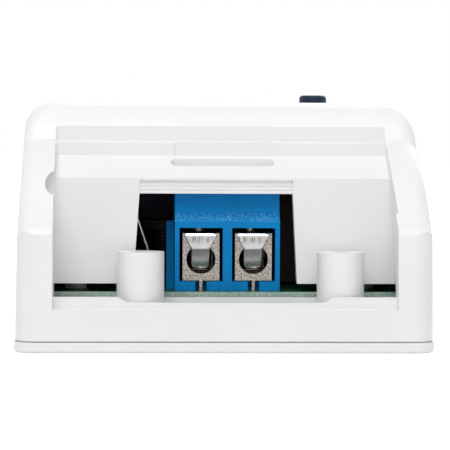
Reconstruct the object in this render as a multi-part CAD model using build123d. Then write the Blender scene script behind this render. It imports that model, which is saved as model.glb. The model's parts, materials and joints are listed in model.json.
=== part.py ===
from build123d import *
import math
import os

# Inline relay module. Millimetres, X across, Y along the case, Z up, origin at the middle of the underside.
# The open end is at -Y. Depths at an end are measured inwards from that end's face.

# Case
case_length = 88.0
case_width = 38.0
case_height = 22.7
side_draft_degrees = 1.3
plan_corner_radius = 2.0
top_edge_radius = 2.8
cheek_edge_radius = 1.3
base_thickness = 0.95
base_edge_radius = 0.3
base_proud = 0.1
seam_groove_height = 0.12
seam_groove_depth = 0.4
wall = 1.8
overrun = 2.0
fit_clearance = 0.15
running_clearance = 0.06

# Outer profile of an end: depth inwards with a height from the underside, or a drop from the top
nose_height = 10.1
nose_round_depth = 1.4
nose_round_rise = 1.6
slope_stations = ((2.9, 9.4), (4.5, 7.7), (6.8, 6.0), (9.5, 4.5), (11.3, 3.6))
hump_stations = ((11.9, 2.4), (12.6, 1.4), (13.5, 0.6), (14.4, 0.18), (15.5, 0.0))
round_step_shares = (0.0, 0.08, 0.22, 0.42, 0.68, 1.0)
nose_sweep_degrees = 60.0

# Terminal compartment at each end
bay_half_width = 15.5
bay_flare_right = 0.9
sill_height = 3.9
rebate_depth = 1.2
rebate_wall = 1.0
rebate_rise = 1.03
rebate_dip = 0.49
rebate_dip_left = -9.7
rebate_dip_right = 9.9
rebate_dip_slope = 0.9
bay_floor_depth = 5.7
partition_depth = 7.3
partition_thickness = 1.2
partition_foot_height = 5.8
seat_front_drop = 7.15
seat_back_depth = 10.7
seat_back_drop = 5.1
ledge_depth = 11.95
ledge_drop = 3.65
window_left = -7.69
window_right = 6.5
window_flare_left = 0.68
window_flare_right = 0.54
window_head_drop = 8.58
lintel_recess = 0.2
slot_width = 9.67
slot_breadth = 1.1
slot_floor_drop = 6.7
slot_centre_x = 0.1
slot_centre_depth = 9.7
pocket_width = 9.0
pocket_depth = 0.14
lintel_lip = 0.2
lintel_rib = 0.35
lintel_rib_depth = 0.04
cheek_notch_radius = 1.18
cheek_notch_inset = 0.38
cheek_notch_drop = 7.63
cheek_notch_end_depth = 6.9
roof_thickness = 1.7

# Cover posts, one pair at each end
post_radius = 2.165
post_height = 8.9
post_left_x = -7.6
post_right_x = 10.7
post_depth = 4.6
pilot_radius = 0.85
pilot_length = 6.5

# End cover and its screws
cover_skirt = 1.3
cover_lid = 1.5
cover_post_wall = 1.0
cover_grip_gap = 0.1
cover_screw_shank_radius = 0.95
cover_screw_head_radius = 1.9
cover_screw_head_height = 1.3
cover_screw_slot_width = 0.6
cover_screw_slot_depth = 0.6
cover_seat_thickness = 1.4
cable_entry_radius = 3.2
cable_entry_height = 6.3

# Circuit board
board_thickness = 1.6
board_top = 5.07
board_edge_depth = 6.9
board_side_clearance = 0.5
board_corner_radius = 1.0
support_radius = 2.2
support_pin_radius = 1.0
support_pin_rise = 0.9
support_inset_x = 3.1
support_inset_y = 6.0
fence_half_span = 15.2
fence_depth = 6.0
fence_thickness = 0.6
fence_height = 4.6
snap_length = 5.0
snap_thickness = 1.1
snap_height = 8.5
snap_nub = 0.45
snap_nub_height = 1.4
snap_place_share = 0.385
lead_radius = 0.35
lead_below = 1.4
pad_radius = 1.0
pad_height = 0.9
edge_margin = 1.2
part_gap = 1.2
standoff = 0.1

# Terminal blocks
block_centre_x = 0.51
block_face_depth = 8.2
block_face_height = 6.43
block_height = 10.0
block_depth = 9.4
block_chamfer = 0.8
block_front_height = 9.05
block_step_depth = 4.7
bay_width = 4.03
bay_height = 5.0
bay_lip = 0.85
bay_outer_wall = 0.42
bay_divider = 0.86
bay_back_wall = 0.7
lip_slot_width = 1.06
rib_width = 0.64
rib_depth = 1.6
rib_set_back = 3.4
rib_height = 6.4
cage_width = 3.45
cage_height = 4.43
cage_depth = 8.0
cage_set_back = 0.45
clamp_axis_depth = 6.8
cage_plate = 0.25
cage_hole_radius = 1.35
cage_hole_drop = 2.45
cage_pin_width = 0.3
cage_pin_length = 0.8
leaf_thickness = 0.2
leaf_gap = 0.08
leaf_top_width = 3.05
leaf_neck_width = 1.85
leaf_edge_height = 0.3
leaf_drop = 1.7
leaf_run = 0.95
leaf_slope_thickness = 0.23
leaf_hole_rise = 0.8
leaf_pad_reach = 1.2
clamp_screw_radius = 1.2
clamp_head_radius = 1.75
clamp_head_height = 1.3
clamp_head_drop = 0.9
clamp_slot_width = 0.6
clamp_slot_depth = 0.7

# Push button and its switch
button_radius = 1.47
button_proud = 1.27
button_round = 0.35
button_x = 11.5
button_stem_radius = 1.05
button_flange_radius = 1.9
button_flange_height = 0.8
button_flange_drop = 2.3
button_travel = 0.3
switch_width = 6.0
switch_height = 3.4
switch_frame_thickness = 0.2
switch_stem_rise = 0.6
switch_stem_radius = 1.6
switch_stop_gap = 0.05

# Relay
relay_width = 15.5
relay_length = 19.0
relay_headroom = 0.8
relay_wall = 0.6
relay_base_height = 1.6
relay_coil_radius = 3.9
relay_bobbin_flange = 0.7
relay_bobbin_radius = 4.6
relay_coil_height = 8.4
relay_yoke_thickness = 1.0
relay_yoke_width = 7.4
relay_armature_thickness = 0.8
relay_armature_gap = 0.4
relay_pivot_gap = 0.06
relay_swing_degrees = 2.5
relay_blade_thickness = 0.25
relay_blade_width = 3.4
relay_contact_radius = 1.0
relay_contact_height = 0.5
relay_contact_gap = 0.65
relay_inner_gap = 0.3
relay_tube_wall = 0.4
relay_core_radius = 1.5
relay_pole_radius = 2.6
relay_pole_height = 0.3
relay_blade_reach = 14.0
relay_arm_overlap = 9.5
relay_post_thickness = 0.8

# Power supply parts
transformer_width = 12.4
transformer_length = 11.0
transformer_height = 11.5
transformer_core_depth = 5.0
transformer_core_leg = 2.6
transformer_core_side = 1.6
transformer_core_yoke = 2.0
transformer_foot = 1.4
transformer_flange = 0.9
transformer_tube = 0.5
transformer_gap = 0.05
transformer_pin_inset = 1.0
mains_capacitor_radius = 3.15
mains_capacitor_height = 11.0
output_capacitor_radius = 4.0
output_capacitor_height = 11.5
capacitor_groove = 0.25
capacitor_groove_height = 1.6
film_capacitor_width = 5.6
film_capacitor_length = 12.5
film_capacitor_height = 11.6
film_capacitor_gap = 0.65
film_lead_inset = 1.2
varistor_radius = 4.2
varistor_thickness = 3.4
resistor_radius = 1.45
resistor_height = 6.5
resistor_rise = 1.0
resistor_x = -9.6
resistor_depth = 13.5
resistor_bend_rise = 0.6
resistor_bend_reach = 1.25
resistor_lead_reach = 3.67
resistor_wire_radius = 0.2
inductor_radius = 2.9
inductor_height = 6.0
inductor_flange = 0.8
inductor_waist_radius = 2.2

# Small parts soldered flat on the board
bridge_size = (4.6, 5.6, 2.3)
controller_size = (3.9, 4.9, 1.5)
diode_size = (2.6, 4.4, 2.2)
regulator_size = (3.5, 6.5, 1.7)
radio_chip_size = (5.0, 5.0, 0.9)
memory_chip_size = (4.0, 5.2, 1.6)
crystal_size = (2.5, 3.2, 0.7)
transistor_size = (1.3, 2.9, 1.0)
led_size = (0.8, 1.6, 0.6)
chip_resistor_size = (0.8, 1.6, 0.45)
chip_capacitor_size = (1.25, 2.0, 0.85)
chip_resistor_count = 7
chip_capacitor_count = 4
foot_length = 0.6
foot_width = 0.45
foot_thickness = 0.2
foot_pitch = 1.27
foot_rise = 0.1
supply_row_y = -8.6
radio_row_y = -1.2
resistor_row_y = 4.1
capacitor_row_y = -4.9
antenna_track = 0.5
antenna_pitch = 1.3
antenna_span = 6.0
antenna_thickness = 0.07
antenna_turns = 5
antenna_margin = 0.9

# Derived sizes
half_length = case_length / 2
half_width = case_width / 2
cavity_half_width = half_width - wall
roof_underside = case_height - roof_thickness
board_width = 2 * (cavity_half_width - board_side_clearance)
board_length = case_length - 2 * board_edge_depth
board_underside = board_top - board_thickness
seat_front_height = case_height - seat_front_drop
seat_back_height = case_height - seat_back_drop
ledge_height = case_height - ledge_drop
window_head_height = case_height - window_head_drop
rebate_height = sill_height + rebate_rise
post_places = ((post_left_x, post_depth - half_length), (post_right_x, post_depth - half_length))
block_width = 2 * (bay_width + bay_outer_wall) + bay_divider
bay_pitch = bay_width + bay_divider
block_face_y = block_face_depth - half_length
block_back_y = block_face_y + block_depth
cage_front_y = block_face_y + cage_set_back
cage_foot = board_top + bay_lip + fit_clearance / 2
cage_top = cage_foot + cage_height
cage_hole_height = cage_top - cage_hole_drop


def block(x, y, foot, width, length, height):
    """A box centred on x and y that stands on the height foot."""
    return Pos(x, y, foot + height / 2) * Box(width, length, height)


def rod(x, y, foot, radius, height):
    """An upright cylinder centred on x and y that stands on the height foot."""
    return Pos(x, y, foot + height / 2) * Cylinder(radius, height)


def side_prism(points, half_span, centre_x=0):
    """A side outline of (depth, height) points at the open end, drawn out to half_span each way across X."""
    places = [(depth - half_length, height) for depth, height in points]
    face = make_face(Plane.YZ * Polyline(*places, close=True))
    return Pos(centre_x, 0, 0) * extrude(face, amount=half_span, both=True)


def turned(shape):
    """The same shape at the far end, half a turn about the upright axis."""
    return Rot(0, 0, 180) * shape


def joined(*shapes):
    """All shapes fused to one."""
    result = shapes[0]
    for shape in shapes[1:]:
        result = result + shape
    return result


def plan(width, length, radius):
    """A flat rounded rectangle on the ground plane."""
    return RectangleRounded(width, length, radius)


def end_prism(points, from_depth, to_depth):
    """An outline of (x, height) points drawn along Y between two depths at the open end."""
    face = make_face(Plane.XZ.offset(half_length - from_depth) * Polyline(*points, close=True))
    return extrude(face, amount=to_depth - from_depth, dir=(0, 1, 0))


def outer_section(depth, top, radius):
    """One slice across the case: drafted sides and a top with rounded corners."""
    foot_half = half_width - base_proud
    top_half = foot_half - math.tan(math.radians(side_draft_degrees)) * (top - base_thickness)
    corners = [(-foot_half, base_thickness), (foot_half, base_thickness), (top_half, top), (-top_half, top)]
    face = make_face(Polyline(*corners, close=True))
    face = fillet(face.vertices().group_by(Axis.Y)[-1], radius)
    return Plane.XZ.offset(half_length - depth) * face


def end_stations():
    """Depth, top height and edge radius of each slice from the open end to the flat of the top."""
    stations = []
    nose_sweep = math.radians(nose_sweep_degrees)
    for share in round_step_shares:
        turn = nose_sweep * share
        reach = nose_round_depth * (1 - math.cos(turn)) / (1 - math.cos(nose_sweep))
        rise = nose_round_rise * math.sin(turn) / math.sin(nose_sweep)
        stations.append((reach, nose_height + rise, cheek_edge_radius))
    for depth, drop in slope_stations:
        stations.append((depth, case_height - drop, cheek_edge_radius))
    for index, (depth, drop) in enumerate(hump_stations):
        share = (index + 1) / len(hump_stations)
        radius = cheek_edge_radius + (top_edge_radius - cheek_edge_radius) * share
        stations.append((depth, case_height - drop, radius))
    return stations


def outer_form():
    """The closed outer shape of the case above the base."""
    near = end_stations()
    far = [(case_length - depth, top, radius) for depth, top, radius in reversed(near)]
    body = loft([outer_section(*station) for station in near + far], ruled=True)
    outline = plan(case_width - 2 * base_proud, case_length - 2 * base_proud, plan_corner_radius)
    return body & (Pos(0, 0, base_thickness) * extrude(outline, amount=case_height))


def bay_points(gap):
    """Side outline of the space under an end cover, drawn in by gap on every face."""
    rebate_back = rebate_depth + rebate_wall
    pit = [] if gap else [(rebate_back, rebate_height), (rebate_back, 0), (partition_depth, 0)]
    floor = [(partition_depth - gap, rebate_height + gap)] if gap else []
    ledge = [] if gap else [(seat_back_depth, ledge_height), (ledge_depth, ledge_height)]
    last_depth = seat_back_depth - gap if gap else ledge_depth
    return [
        (-overrun, sill_height + gap),
        (rebate_depth - gap, sill_height + gap),
        (rebate_depth - gap, rebate_height + gap),
        *pit,
        *floor,
        (partition_depth - gap, seat_front_height + gap),
        (seat_back_depth - gap, seat_back_height + gap),
        *ledge,
        (last_depth, case_height + overrun),
        (-overrun, case_height + overrun),
    ]


def bay_cut():
    """What is cut from the case at one end: cover recess, window, lintel, tongue slot and cheek notch."""
    recess = side_prism(bay_points(0), bay_half_width)
    flared_right = bay_half_width + bay_flare_right
    recess = recess + end_prism([
        (-bay_half_width, seat_front_height), (bay_half_width, seat_front_height),
        (flared_right, 0), (-bay_half_width, 0),
    ], rebate_depth + rebate_wall, partition_depth)
    foot = partition_foot_height - overrun
    window = end_prism([
        (window_left, window_head_height), (window_right, window_head_height),
        (window_right + window_flare_right, foot), (window_left - window_flare_left, foot),
    ], partition_depth - overrun / 2, partition_depth + partition_thickness + overrun / 4)
    lintel_top = seat_front_height - lintel_lip
    lintel = end_prism([
        (window_left, window_head_height - lintel_lip), (window_right, window_head_height - lintel_lip),
        (window_right, lintel_top), (window_left, lintel_top),
    ], partition_depth - lintel_lip, partition_depth + lintel_recess)
    cut = joined(recess, window, lintel)
    rib_count = int((lintel_top - window_head_height) / lintel_rib)
    for rib in range(rib_count):
        height = window_head_height + lintel_rib * (rib + 1 / 2)
        groove_width = window_right - window_left
        centre_x = (window_left + window_right) / 2
        centre_y = partition_depth + lintel_recess - half_length
        cut = cut + block(centre_x, centre_y, height, groove_width, 2 * lintel_rib_depth, lintel_rib / 2)
    slot_floor = case_height - slot_floor_drop
    slot = extrude(SlotOverall(slot_width, slot_breadth), amount=seat_back_height - slot_floor)
    cut = cut + Pos(slot_centre_x, slot_centre_depth - half_length, slot_floor) * slot
    pocket_y = seat_back_depth - half_length
    cut = cut + block(slot_centre_x, pocket_y, seat_back_height, pocket_width, 2 * pocket_depth,
                      ledge_height - seat_back_height)
    notch_height = case_height - cheek_notch_drop
    notch = Cylinder(cheek_notch_radius, cheek_notch_end_depth + overrun)
    notch_y = (cheek_notch_end_depth - overrun) / 2 - half_length
    notch_x = cheek_notch_inset - bay_half_width
    return cut + Pos(notch_x, notch_y, notch_height) * Rot(90, 0, 0) * notch


def rebate_dip_cut():
    """The shallow dip in the sill's inner wall between the cover posts."""
    top = rebate_height + overrun
    low = rebate_height - rebate_dip
    return end_prism([
        (rebate_dip_left, top), (rebate_dip_left, rebate_height), (rebate_dip_left + rebate_dip_slope, low),
        (rebate_dip_right - rebate_dip_slope, low), (rebate_dip_right, rebate_height),
        (rebate_dip_right, top),
    ], rebate_depth - lintel_lip, rebate_depth + rebate_wall + lintel_lip)


def cavity():
    """The room inside the case for the board and its parts."""
    partition_back = partition_depth + partition_thickness
    riser_back = seat_back_depth + partition_thickness
    half = [
        (bay_floor_depth, 0), (bay_floor_depth, partition_foot_height),
        (partition_back, partition_foot_height),
        (partition_back, seat_front_height - partition_thickness),
        (riser_back, seat_back_height - partition_thickness),
        (hump_stations[-1][0], roof_underside),
    ]
    mirrored = [(case_length - depth, height) for depth, height in reversed(half)]
    return side_prism(half + mirrored, cavity_half_width)


def snap_places():
    """Centres along Y of the snap hooks on each side."""
    reach = snap_place_share * board_length / 2
    return (-reach, reach)


def make_upper_housing(form):
    """Upper shell: outer form, end bays, cavity, button hole, hook pockets and the seam groove."""
    shell = form - cavity()
    for cut in (bay_cut(), rebate_dip_cut()):
        shell = shell - cut - turned(cut)
    hole_radius = button_radius + fit_clearance
    shell = shell - rod(button_x, 0, roof_underside - overrun, hole_radius, 2 * overrun + roof_thickness)
    pocket_height = snap_nub_height + 2 * fit_clearance
    for y in snap_places():
        for side in (-1, 1):
            x = side * cavity_half_width
            foot = snap_height - snap_nub_height - fit_clearance
            width = 2 * (snap_nub + fit_clearance)
            shell = shell - block(x, y, foot, width, snap_length + 2 * fit_clearance, pocket_height)
    ring_outer = plan(case_width + overrun, case_length + overrun, plan_corner_radius)
    ring_inner = plan(case_width - 2 * seam_groove_depth, case_length - 2 * seam_groove_depth,
                      plan_corner_radius - seam_groove_depth)
    groove = extrude(ring_outer - ring_inner, amount=seam_groove_height)
    return shell - Pos(0, 0, base_thickness) * groove


def make_base_cover():
    """Flat base with the cover posts, the board supports and the snap hooks."""
    plate = extrude(plan(case_width, case_length, plan_corner_radius), amount=base_thickness)
    plate = fillet(plate.edges().group_by(Axis.Z)[0], base_edge_radius)
    root = base_thickness / 2
    posts = None
    for x, y in post_places:
        post = rod(x, y, root, post_radius, post_height - root)
        post = post - rod(x, y, post_height - pilot_length, pilot_radius, pilot_length + overrun)
        posts = post if posts is None else posts + post
    fence_y = fence_depth + fence_thickness / 2 - case_length / 2
    fence = block(0, fence_y, root, 2 * fence_half_span, fence_thickness, fence_height - root)
    plate = plate + posts + turned(posts) + fence + turned(fence)
    for side_x in (-1, 1):
        for side_y in (-1, 1):
            x = side_x * (board_width / 2 - support_inset_x)
            y = side_y * (board_length / 2 - support_inset_y)
            plate = plate + rod(x, y, root, support_radius, board_underside - root)
            pin_rise = board_thickness + support_pin_rise
            plate = plate + rod(x, y, board_underside - root, support_pin_radius, pin_rise + root)
    for y in snap_places():
        for side in (-1, 1):
            plate = plate + snap_hook(side, y)
    return plate


def snap_hook(side, y):
    """One upright tongue with a wedge nub near its top that faces the side wall."""
    outer = side * (cavity_half_width - fit_clearance)
    inner = outer - side * snap_thickness
    nub = outer + side * snap_nub
    root = base_thickness / 2
    nub_foot = snap_height - snap_nub_height
    outline = [(inner, root), (outer, root), (outer, nub_foot), (nub, nub_foot),
               (nub, nub_foot + snap_nub), (outer, snap_height), (inner, snap_height)]
    face = make_face(Plane.XZ * Polyline(*outline, close=True))
    return Pos(0, y, 0) * extrude(face, amount=snap_length / 2, both=True)


def make_end_cover(form):
    """Screwed cover of one end, made at the open end and then turned to the far one."""
    gap = fit_clearance
    half_span = bay_half_width - gap
    cover = form & side_prism(bay_points(gap), half_span)
    inner_depth = partition_depth - cover_skirt
    lid = [(depth, case_height - drop - cover_lid) for depth, drop in slope_stations if depth < inner_depth]
    hollow = side_prism([
        (cover_skirt, 0), (cover_skirt, nose_height + nose_round_rise - cover_lid), *lid,
        (partition_depth + overrun, lid[-1][1]), (partition_depth + overrun, 0),
    ], half_span - cover_skirt)
    lower_gap = post_height + cover_grip_gap
    column_top = lower_gap + cover_seat_thickness
    tubes = None
    for x, y in post_places:
        tube = rod(x, y, lower_gap, cover_screw_head_radius + gap + cover_post_wall, case_height)
        tubes = tube if tubes is None else tubes + tube
    cover = (cover - hollow) + (tubes & form & side_prism(bay_points(gap), half_span))
    for x, y in post_places:
        cover = cover - rod(x, y, 0, cover_screw_shank_radius + gap, case_height)
        cover = cover - rod(x, y, column_top, cover_screw_head_radius + gap, case_height)
    entry_length = 2 * overrun + cover_skirt
    entry = Cylinder(cable_entry_radius, entry_length)
    entry = Pos(slot_centre_x, -half_length, cable_entry_height) * Rot(90, 0, 0) * entry
    below = block(slot_centre_x, -half_length, 0, 2 * cable_entry_radius, entry_length, cable_entry_height)
    tongue_foot = case_height - slot_floor_drop + gap
    tongue_outline = SlotOverall(slot_width - 2 * gap, slot_breadth - 2 * gap)
    tongue = extrude(tongue_outline, amount=seat_back_height - tongue_foot)
    cover = cover + Pos(slot_centre_x, slot_centre_depth - half_length, tongue_foot) * tongue
    return turned(cover - entry - below)


def make_cover_screws():
    """Two cross-slotted screws that hold the end cover to its posts."""
    screws = []
    seat = post_height + cover_grip_gap + cover_seat_thickness
    tip = post_height - pilot_length + cover_grip_gap
    slot_reach = 2 * cover_screw_slot_width
    for x, y in post_places:
        screw = rod(x, y, tip, pilot_radius, seat - tip)
        screw = screw + rod(x, y, seat, cover_screw_head_radius, cover_screw_head_height)
        slot_foot = seat + cover_screw_head_height - cover_screw_slot_depth
        for width, length in ((slot_reach, cover_screw_slot_width), (cover_screw_slot_width, slot_reach)):
            screw = screw - block(x, y, slot_foot, width, length, cover_screw_head_height)
        screws.append(turned(screw))
    return screws


pole_places = (block_centre_x - bay_pitch / 2, block_centre_x + bay_pitch / 2)
clamp_y = block_face_y + clamp_axis_depth
leaf_front = block_face_depth + cage_set_back - leaf_gap - leaf_thickness
leaf_bend_height = cage_hole_height + leaf_hole_rise
leaf_pad_top = leaf_bend_height - leaf_drop


def make_terminal_housing():
    """Two-way terminal block with a stepped top, open bays, screw wells and a side rib."""
    back = block_face_depth + block_depth
    step = block_face_depth + block_step_depth
    face_top = board_top + block_face_height
    body = side_prism([
        (block_face_depth, board_top), (block_face_depth, face_top),
        (block_face_depth + block_chamfer, face_top + block_chamfer),
        (block_face_depth + block_chamfer, board_top + block_front_height),
        (step, board_top + block_front_height),
        (step, board_top + block_height), (back, board_top + block_height), (back, board_top),
    ], block_width / 2, block_centre_x)
    bay_length = block_depth - bay_back_wall + overrun
    bay_y = block_face_y - overrun + bay_length / 2
    slot_length = cage_set_back + cage_pin_length + fit_clearance
    for x in pole_places:
        body = body - block(x, bay_y, board_top + bay_lip, bay_width, bay_length, bay_height)
        well_foot = board_top + bay_lip + bay_height / 2
        body = body - rod(x, clamp_y, well_foot, clamp_head_radius + fit_clearance, block_height)
        slot_y = block_face_y - overrun + (slot_length + overrun) / 2
        slot_top = board_top + bay_lip + fit_clearance
        body = body - block(x, slot_y, 0, lip_slot_width, slot_length + overrun, slot_top)
    rib_x = block_centre_x - block_width / 2 - rib_width / 2
    rib_y = block_face_y + rib_set_back + rib_depth / 2
    return body + block(rib_x, rib_y, board_top, rib_width + fit_clearance, rib_depth, rib_height)


def make_clamp_cages():
    """One folded metal cage with its solder pin in each bay."""
    cages = []
    for x in pole_places:
        y = cage_front_y + cage_depth / 2
        cage = block(x, y, cage_foot, cage_width, cage_depth, cage_height)
        inner_height = cage_height - 2 * cage_plate
        cage = cage - block(x, y, cage_foot + cage_plate, cage_width - 2 * cage_plate,
                            cage_depth - 2 * cage_plate, inner_height)
        mouth = Rot(90, 0, 0) * Cylinder(cage_hole_radius, 4 * cage_plate)
        mouth = Pos(x, cage_front_y, cage_hole_height) * mouth
        cage = cage - mouth
        thread_radius = clamp_screw_radius + running_clearance
        cage = cage - rod(x, clamp_y, cage_top - 2 * cage_plate, thread_radius, cage_height)
        pin_foot = board_underside - lead_below
        pin = block(x, cage_front_y + cage_pin_length / 2, pin_foot, cage_pin_width, cage_pin_length,
                    cage_foot + cage_plate / 2 - pin_foot)
        cages.append(cage + pin)
    return cages


def make_clamp_leaf(x):
    """Wire guard of one bay: tapered tab before the cage, bend through its mouth, pad under the screw."""
    top = cage_top
    points = [
        (x - leaf_top_width / 2, top), (x + leaf_top_width / 2, top),
        (x + leaf_top_width / 2, top - leaf_edge_height), (x + leaf_neck_width / 2, leaf_bend_height),
        (x - leaf_neck_width / 2, leaf_bend_height), (x - leaf_top_width / 2, top - leaf_edge_height),
    ]
    tab = end_prism(points, leaf_front, leaf_front + leaf_thickness)
    back = leaf_front + leaf_slope_thickness
    bend = side_prism([
        (leaf_front, leaf_bend_height + leaf_thickness),
        (leaf_front + leaf_thickness, leaf_bend_height + leaf_thickness),
        (back, leaf_bend_height), (back + leaf_run, leaf_pad_top),
        (back + leaf_run, leaf_pad_top - leaf_thickness),
        (leaf_front + leaf_run, leaf_pad_top - leaf_thickness), (leaf_front, leaf_bend_height),
    ], leaf_neck_width / 2, x)
    pad_end = block_face_depth + clamp_axis_depth + leaf_pad_reach
    pad_start = leaf_front + leaf_run
    pad = block(x, (pad_start + pad_end) / 2 - half_length, leaf_pad_top - leaf_thickness,
                leaf_neck_width, pad_end - pad_start, leaf_thickness)
    return joined(tab, bend, pad)


def make_clamp_screw(x):
    """Slotted screw of one bay, backed off as for inserting a wire."""
    tip = leaf_pad_top + standoff / 2
    head_foot = board_top + block_height - clamp_head_drop - clamp_head_height
    screw = rod(x, clamp_y, tip, clamp_screw_radius, head_foot - tip + clamp_head_height / 2)
    screw = screw + rod(x, clamp_y, head_foot, clamp_head_radius, clamp_head_height)
    slot_foot = head_foot + clamp_head_height - clamp_slot_depth
    slot_span = 2 * clamp_head_radius + overrun
    return screw - block(x, clamp_y, slot_foot, slot_span, clamp_slot_width, clamp_head_height)


# Places of the parts on the board, worked out from the blocks and the board's edges
relay_x = -(board_width / 2 - edge_margin - relay_width / 2)
relay_y = -block_back_y - part_gap - relay_length / 2
relay_foot = board_top + standoff
relay_height = roof_underside - relay_headroom - relay_foot
relay_base_top = relay_foot + relay_base_height
relay_leg_y = relay_y - relay_length / 2 + relay_wall + relay_inner_gap
relay_coil_y = relay_leg_y + relay_yoke_thickness + relay_inner_gap + relay_bobbin_radius
relay_coil_foot = relay_base_top + relay_yoke_thickness
relay_pole_top = relay_coil_foot + relay_coil_height + relay_pole_height
relay_arm_foot = relay_pole_top + relay_armature_gap
relay_tip_y = relay_leg_y + relay_blade_reach
transformer_x = board_width / 2 - edge_margin - transformer_width / 2
transformer_y = -block_back_y - part_gap - transformer_length / 2
mains_capacitor_x = -(board_width / 2 - edge_margin - mains_capacitor_radius)
mains_capacitor_y = block_back_y + part_gap + mains_capacitor_radius
mains_capacitor_step = 2 * mains_capacitor_radius + part_gap
output_capacitor_y = switch_width / 2 + part_gap + output_capacitor_radius
film_capacitor_x = block_centre_x + block_width / 2 + film_capacitor_gap + film_capacitor_width / 2
film_capacitor_y = block_back_y + part_gap + film_capacitor_length / 2
inductor_x = mains_capacitor_x + mains_capacitor_radius + part_gap + inductor_radius
inductor_y = block_back_y + part_gap + inductor_radius
varistor_x = inductor_x + inductor_radius + part_gap + varistor_thickness
varistor_y = block_back_y + part_gap + varistor_radius
resistor_y = resistor_depth - half_length
resistor_lead_x = resistor_x + resistor_lead_reach


def lead(x, y):
    """A round lead through the board, up to the part that stands on it."""
    foot = board_underside - lead_below
    return rod(x, y, foot, lead_radius, board_top + standoff - foot)


def relay_pin_places():
    """Two coil pins and two contact pins."""
    spread = relay_yoke_width / 2
    near_y = relay_leg_y + relay_yoke_thickness
    far_y = relay_y + relay_length / 2 - relay_wall - relay_yoke_thickness
    return [(relay_x + side * spread, y) for y in (near_y, far_y) for side in (-1, 1)]


def transformer_pin_places():
    """Three pins in each of the bobbin's two feet."""
    reach_x = transformer_width / 2 - transformer_core_side - transformer_pin_inset
    reach_y = transformer_length / 2 - transformer_pin_inset
    rows = [transformer_y + side * reach_y for side in (-1, 1)]
    return [(transformer_x + step * reach_x, y) for y in rows for step in (-1, 0, 1)]


def capacitor_places():
    """Centre and radius of each round capacitor: two on the mains side, one at the output."""
    mains = [(mains_capacitor_x, mains_capacitor_y + step * mains_capacitor_step) for step in (0, 1)]
    return mains, [(button_x, output_capacitor_y)]


def capacitor_lead_places():
    """A pair of leads under each round capacitor and under the film capacitor."""
    places = []
    mains, output = capacitor_places()
    for centres, radius in ((mains, mains_capacitor_radius), (output, output_capacitor_radius)):
        for x, y in centres:
            places += [(x, y - radius / 2), (x, y + radius / 2)]
    reach = film_capacitor_length / 2 - film_lead_inset
    film_places = [(film_capacitor_x, film_capacitor_y + side * reach) for side in (-1, 1)]
    return places + film_places


def small_lead_places():
    """Pairs of leads under the varistor and under the choke."""
    return [(varistor_x, varistor_y - varistor_radius / 2), (varistor_x, varistor_y + varistor_radius / 2),
            (inductor_x, inductor_y - inductor_radius / 2), (inductor_x, inductor_y + inductor_radius / 2)]


def switch_leg_places():
    """Four legs at the corners of the switch."""
    reach = switch_width / 2 - lead_radius
    return [(button_x + side_x * reach, side_y * reach) for side_x in (-1, 1) for side_y in (-1, 1)]


def block_pin_places():
    """Where the terminal pins pass the board, at both ends."""
    near = [(x, cage_front_y + cage_pin_length / 2) for x in pole_places]
    return near + [(-x, -y) for x, y in near]


def round_lead_places():
    """Where every round lead passes the board."""
    resistor_places = [(resistor_x, resistor_y), (resistor_lead_x, resistor_y)]
    boxed = relay_pin_places() + transformer_pin_places() + switch_leg_places()
    return boxed + capacitor_lead_places() + small_lead_places() + resistor_places


def make_circuit_board():
    """Board with holes for every lead and for the support pins, and notches for the snap hooks."""
    board = extrude(plan(board_width, board_length, board_corner_radius), amount=board_thickness)
    board = Pos(0, 0, board_underside) * board
    hole_radius = lead_radius + running_clearance
    cuts = [rod(x, y, 0, hole_radius, board_top + overrun) for x, y in round_lead_places()]
    pin_reach = cage_pin_length / 2 + running_clearance
    cuts += [rod(x, y, 0, pin_reach, board_top + overrun) for x, y in block_pin_places()]
    for side_x in (-1, 1):
        for side_y in (-1, 1):
            x = side_x * (board_width / 2 - support_inset_x)
            y = side_y * (board_length / 2 - support_inset_y)
            cuts.append(rod(x, y, 0, support_pin_radius + running_clearance, board_top + overrun))
        for y in snap_places():
            depth = cavity_half_width - snap_thickness - 2 * fit_clearance
            x = side_x * (depth + overrun)
            cuts.append(block(x, y, 0, 2 * overrun, snap_length + 2 * fit_clearance, board_top + overrun))
    for cut in cuts:
        board = board - cut
    return board


def solder_cone(x, y, reach):
    """A cone of solder under the board that narrows downwards to just over reach."""
    return Pos(x, y, board_underside - pad_height / 2) * Cone(reach + running_clearance, pad_radius, pad_height)


def make_solder_joints():
    """A fillet of solder round each lead under the board."""
    joints = []
    for x, y in round_lead_places():
        joints.append(solder_cone(x, y, lead_radius) - rod(x, y, 0, lead_radius, board_top))
    for x, y in block_pin_places():
        cone = solder_cone(x, y, cage_pin_length / 2)
        joints.append(cone - block(x, y, 0, cage_pin_width, cage_pin_length, board_top))
    return joints


def make_button():
    """Push button: a round cap through the roof, a retaining flange and a stem down to the switch."""
    top = case_height + button_proud
    cap_foot = roof_underside - button_flange_drop + button_flange_height
    cap = rod(button_x, 0, cap_foot, button_radius, top - cap_foot)
    cap = fillet(cap.edges().group_by(Axis.Z)[-1], button_round)
    flange = rod(button_x, 0, cap_foot - button_flange_height, button_flange_radius, button_flange_height)
    stem_foot = relay_foot + switch_height + switch_stem_rise
    return cap + flange + rod(button_x, 0, stem_foot, button_stem_radius, cap_foot - stem_foot)


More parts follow.
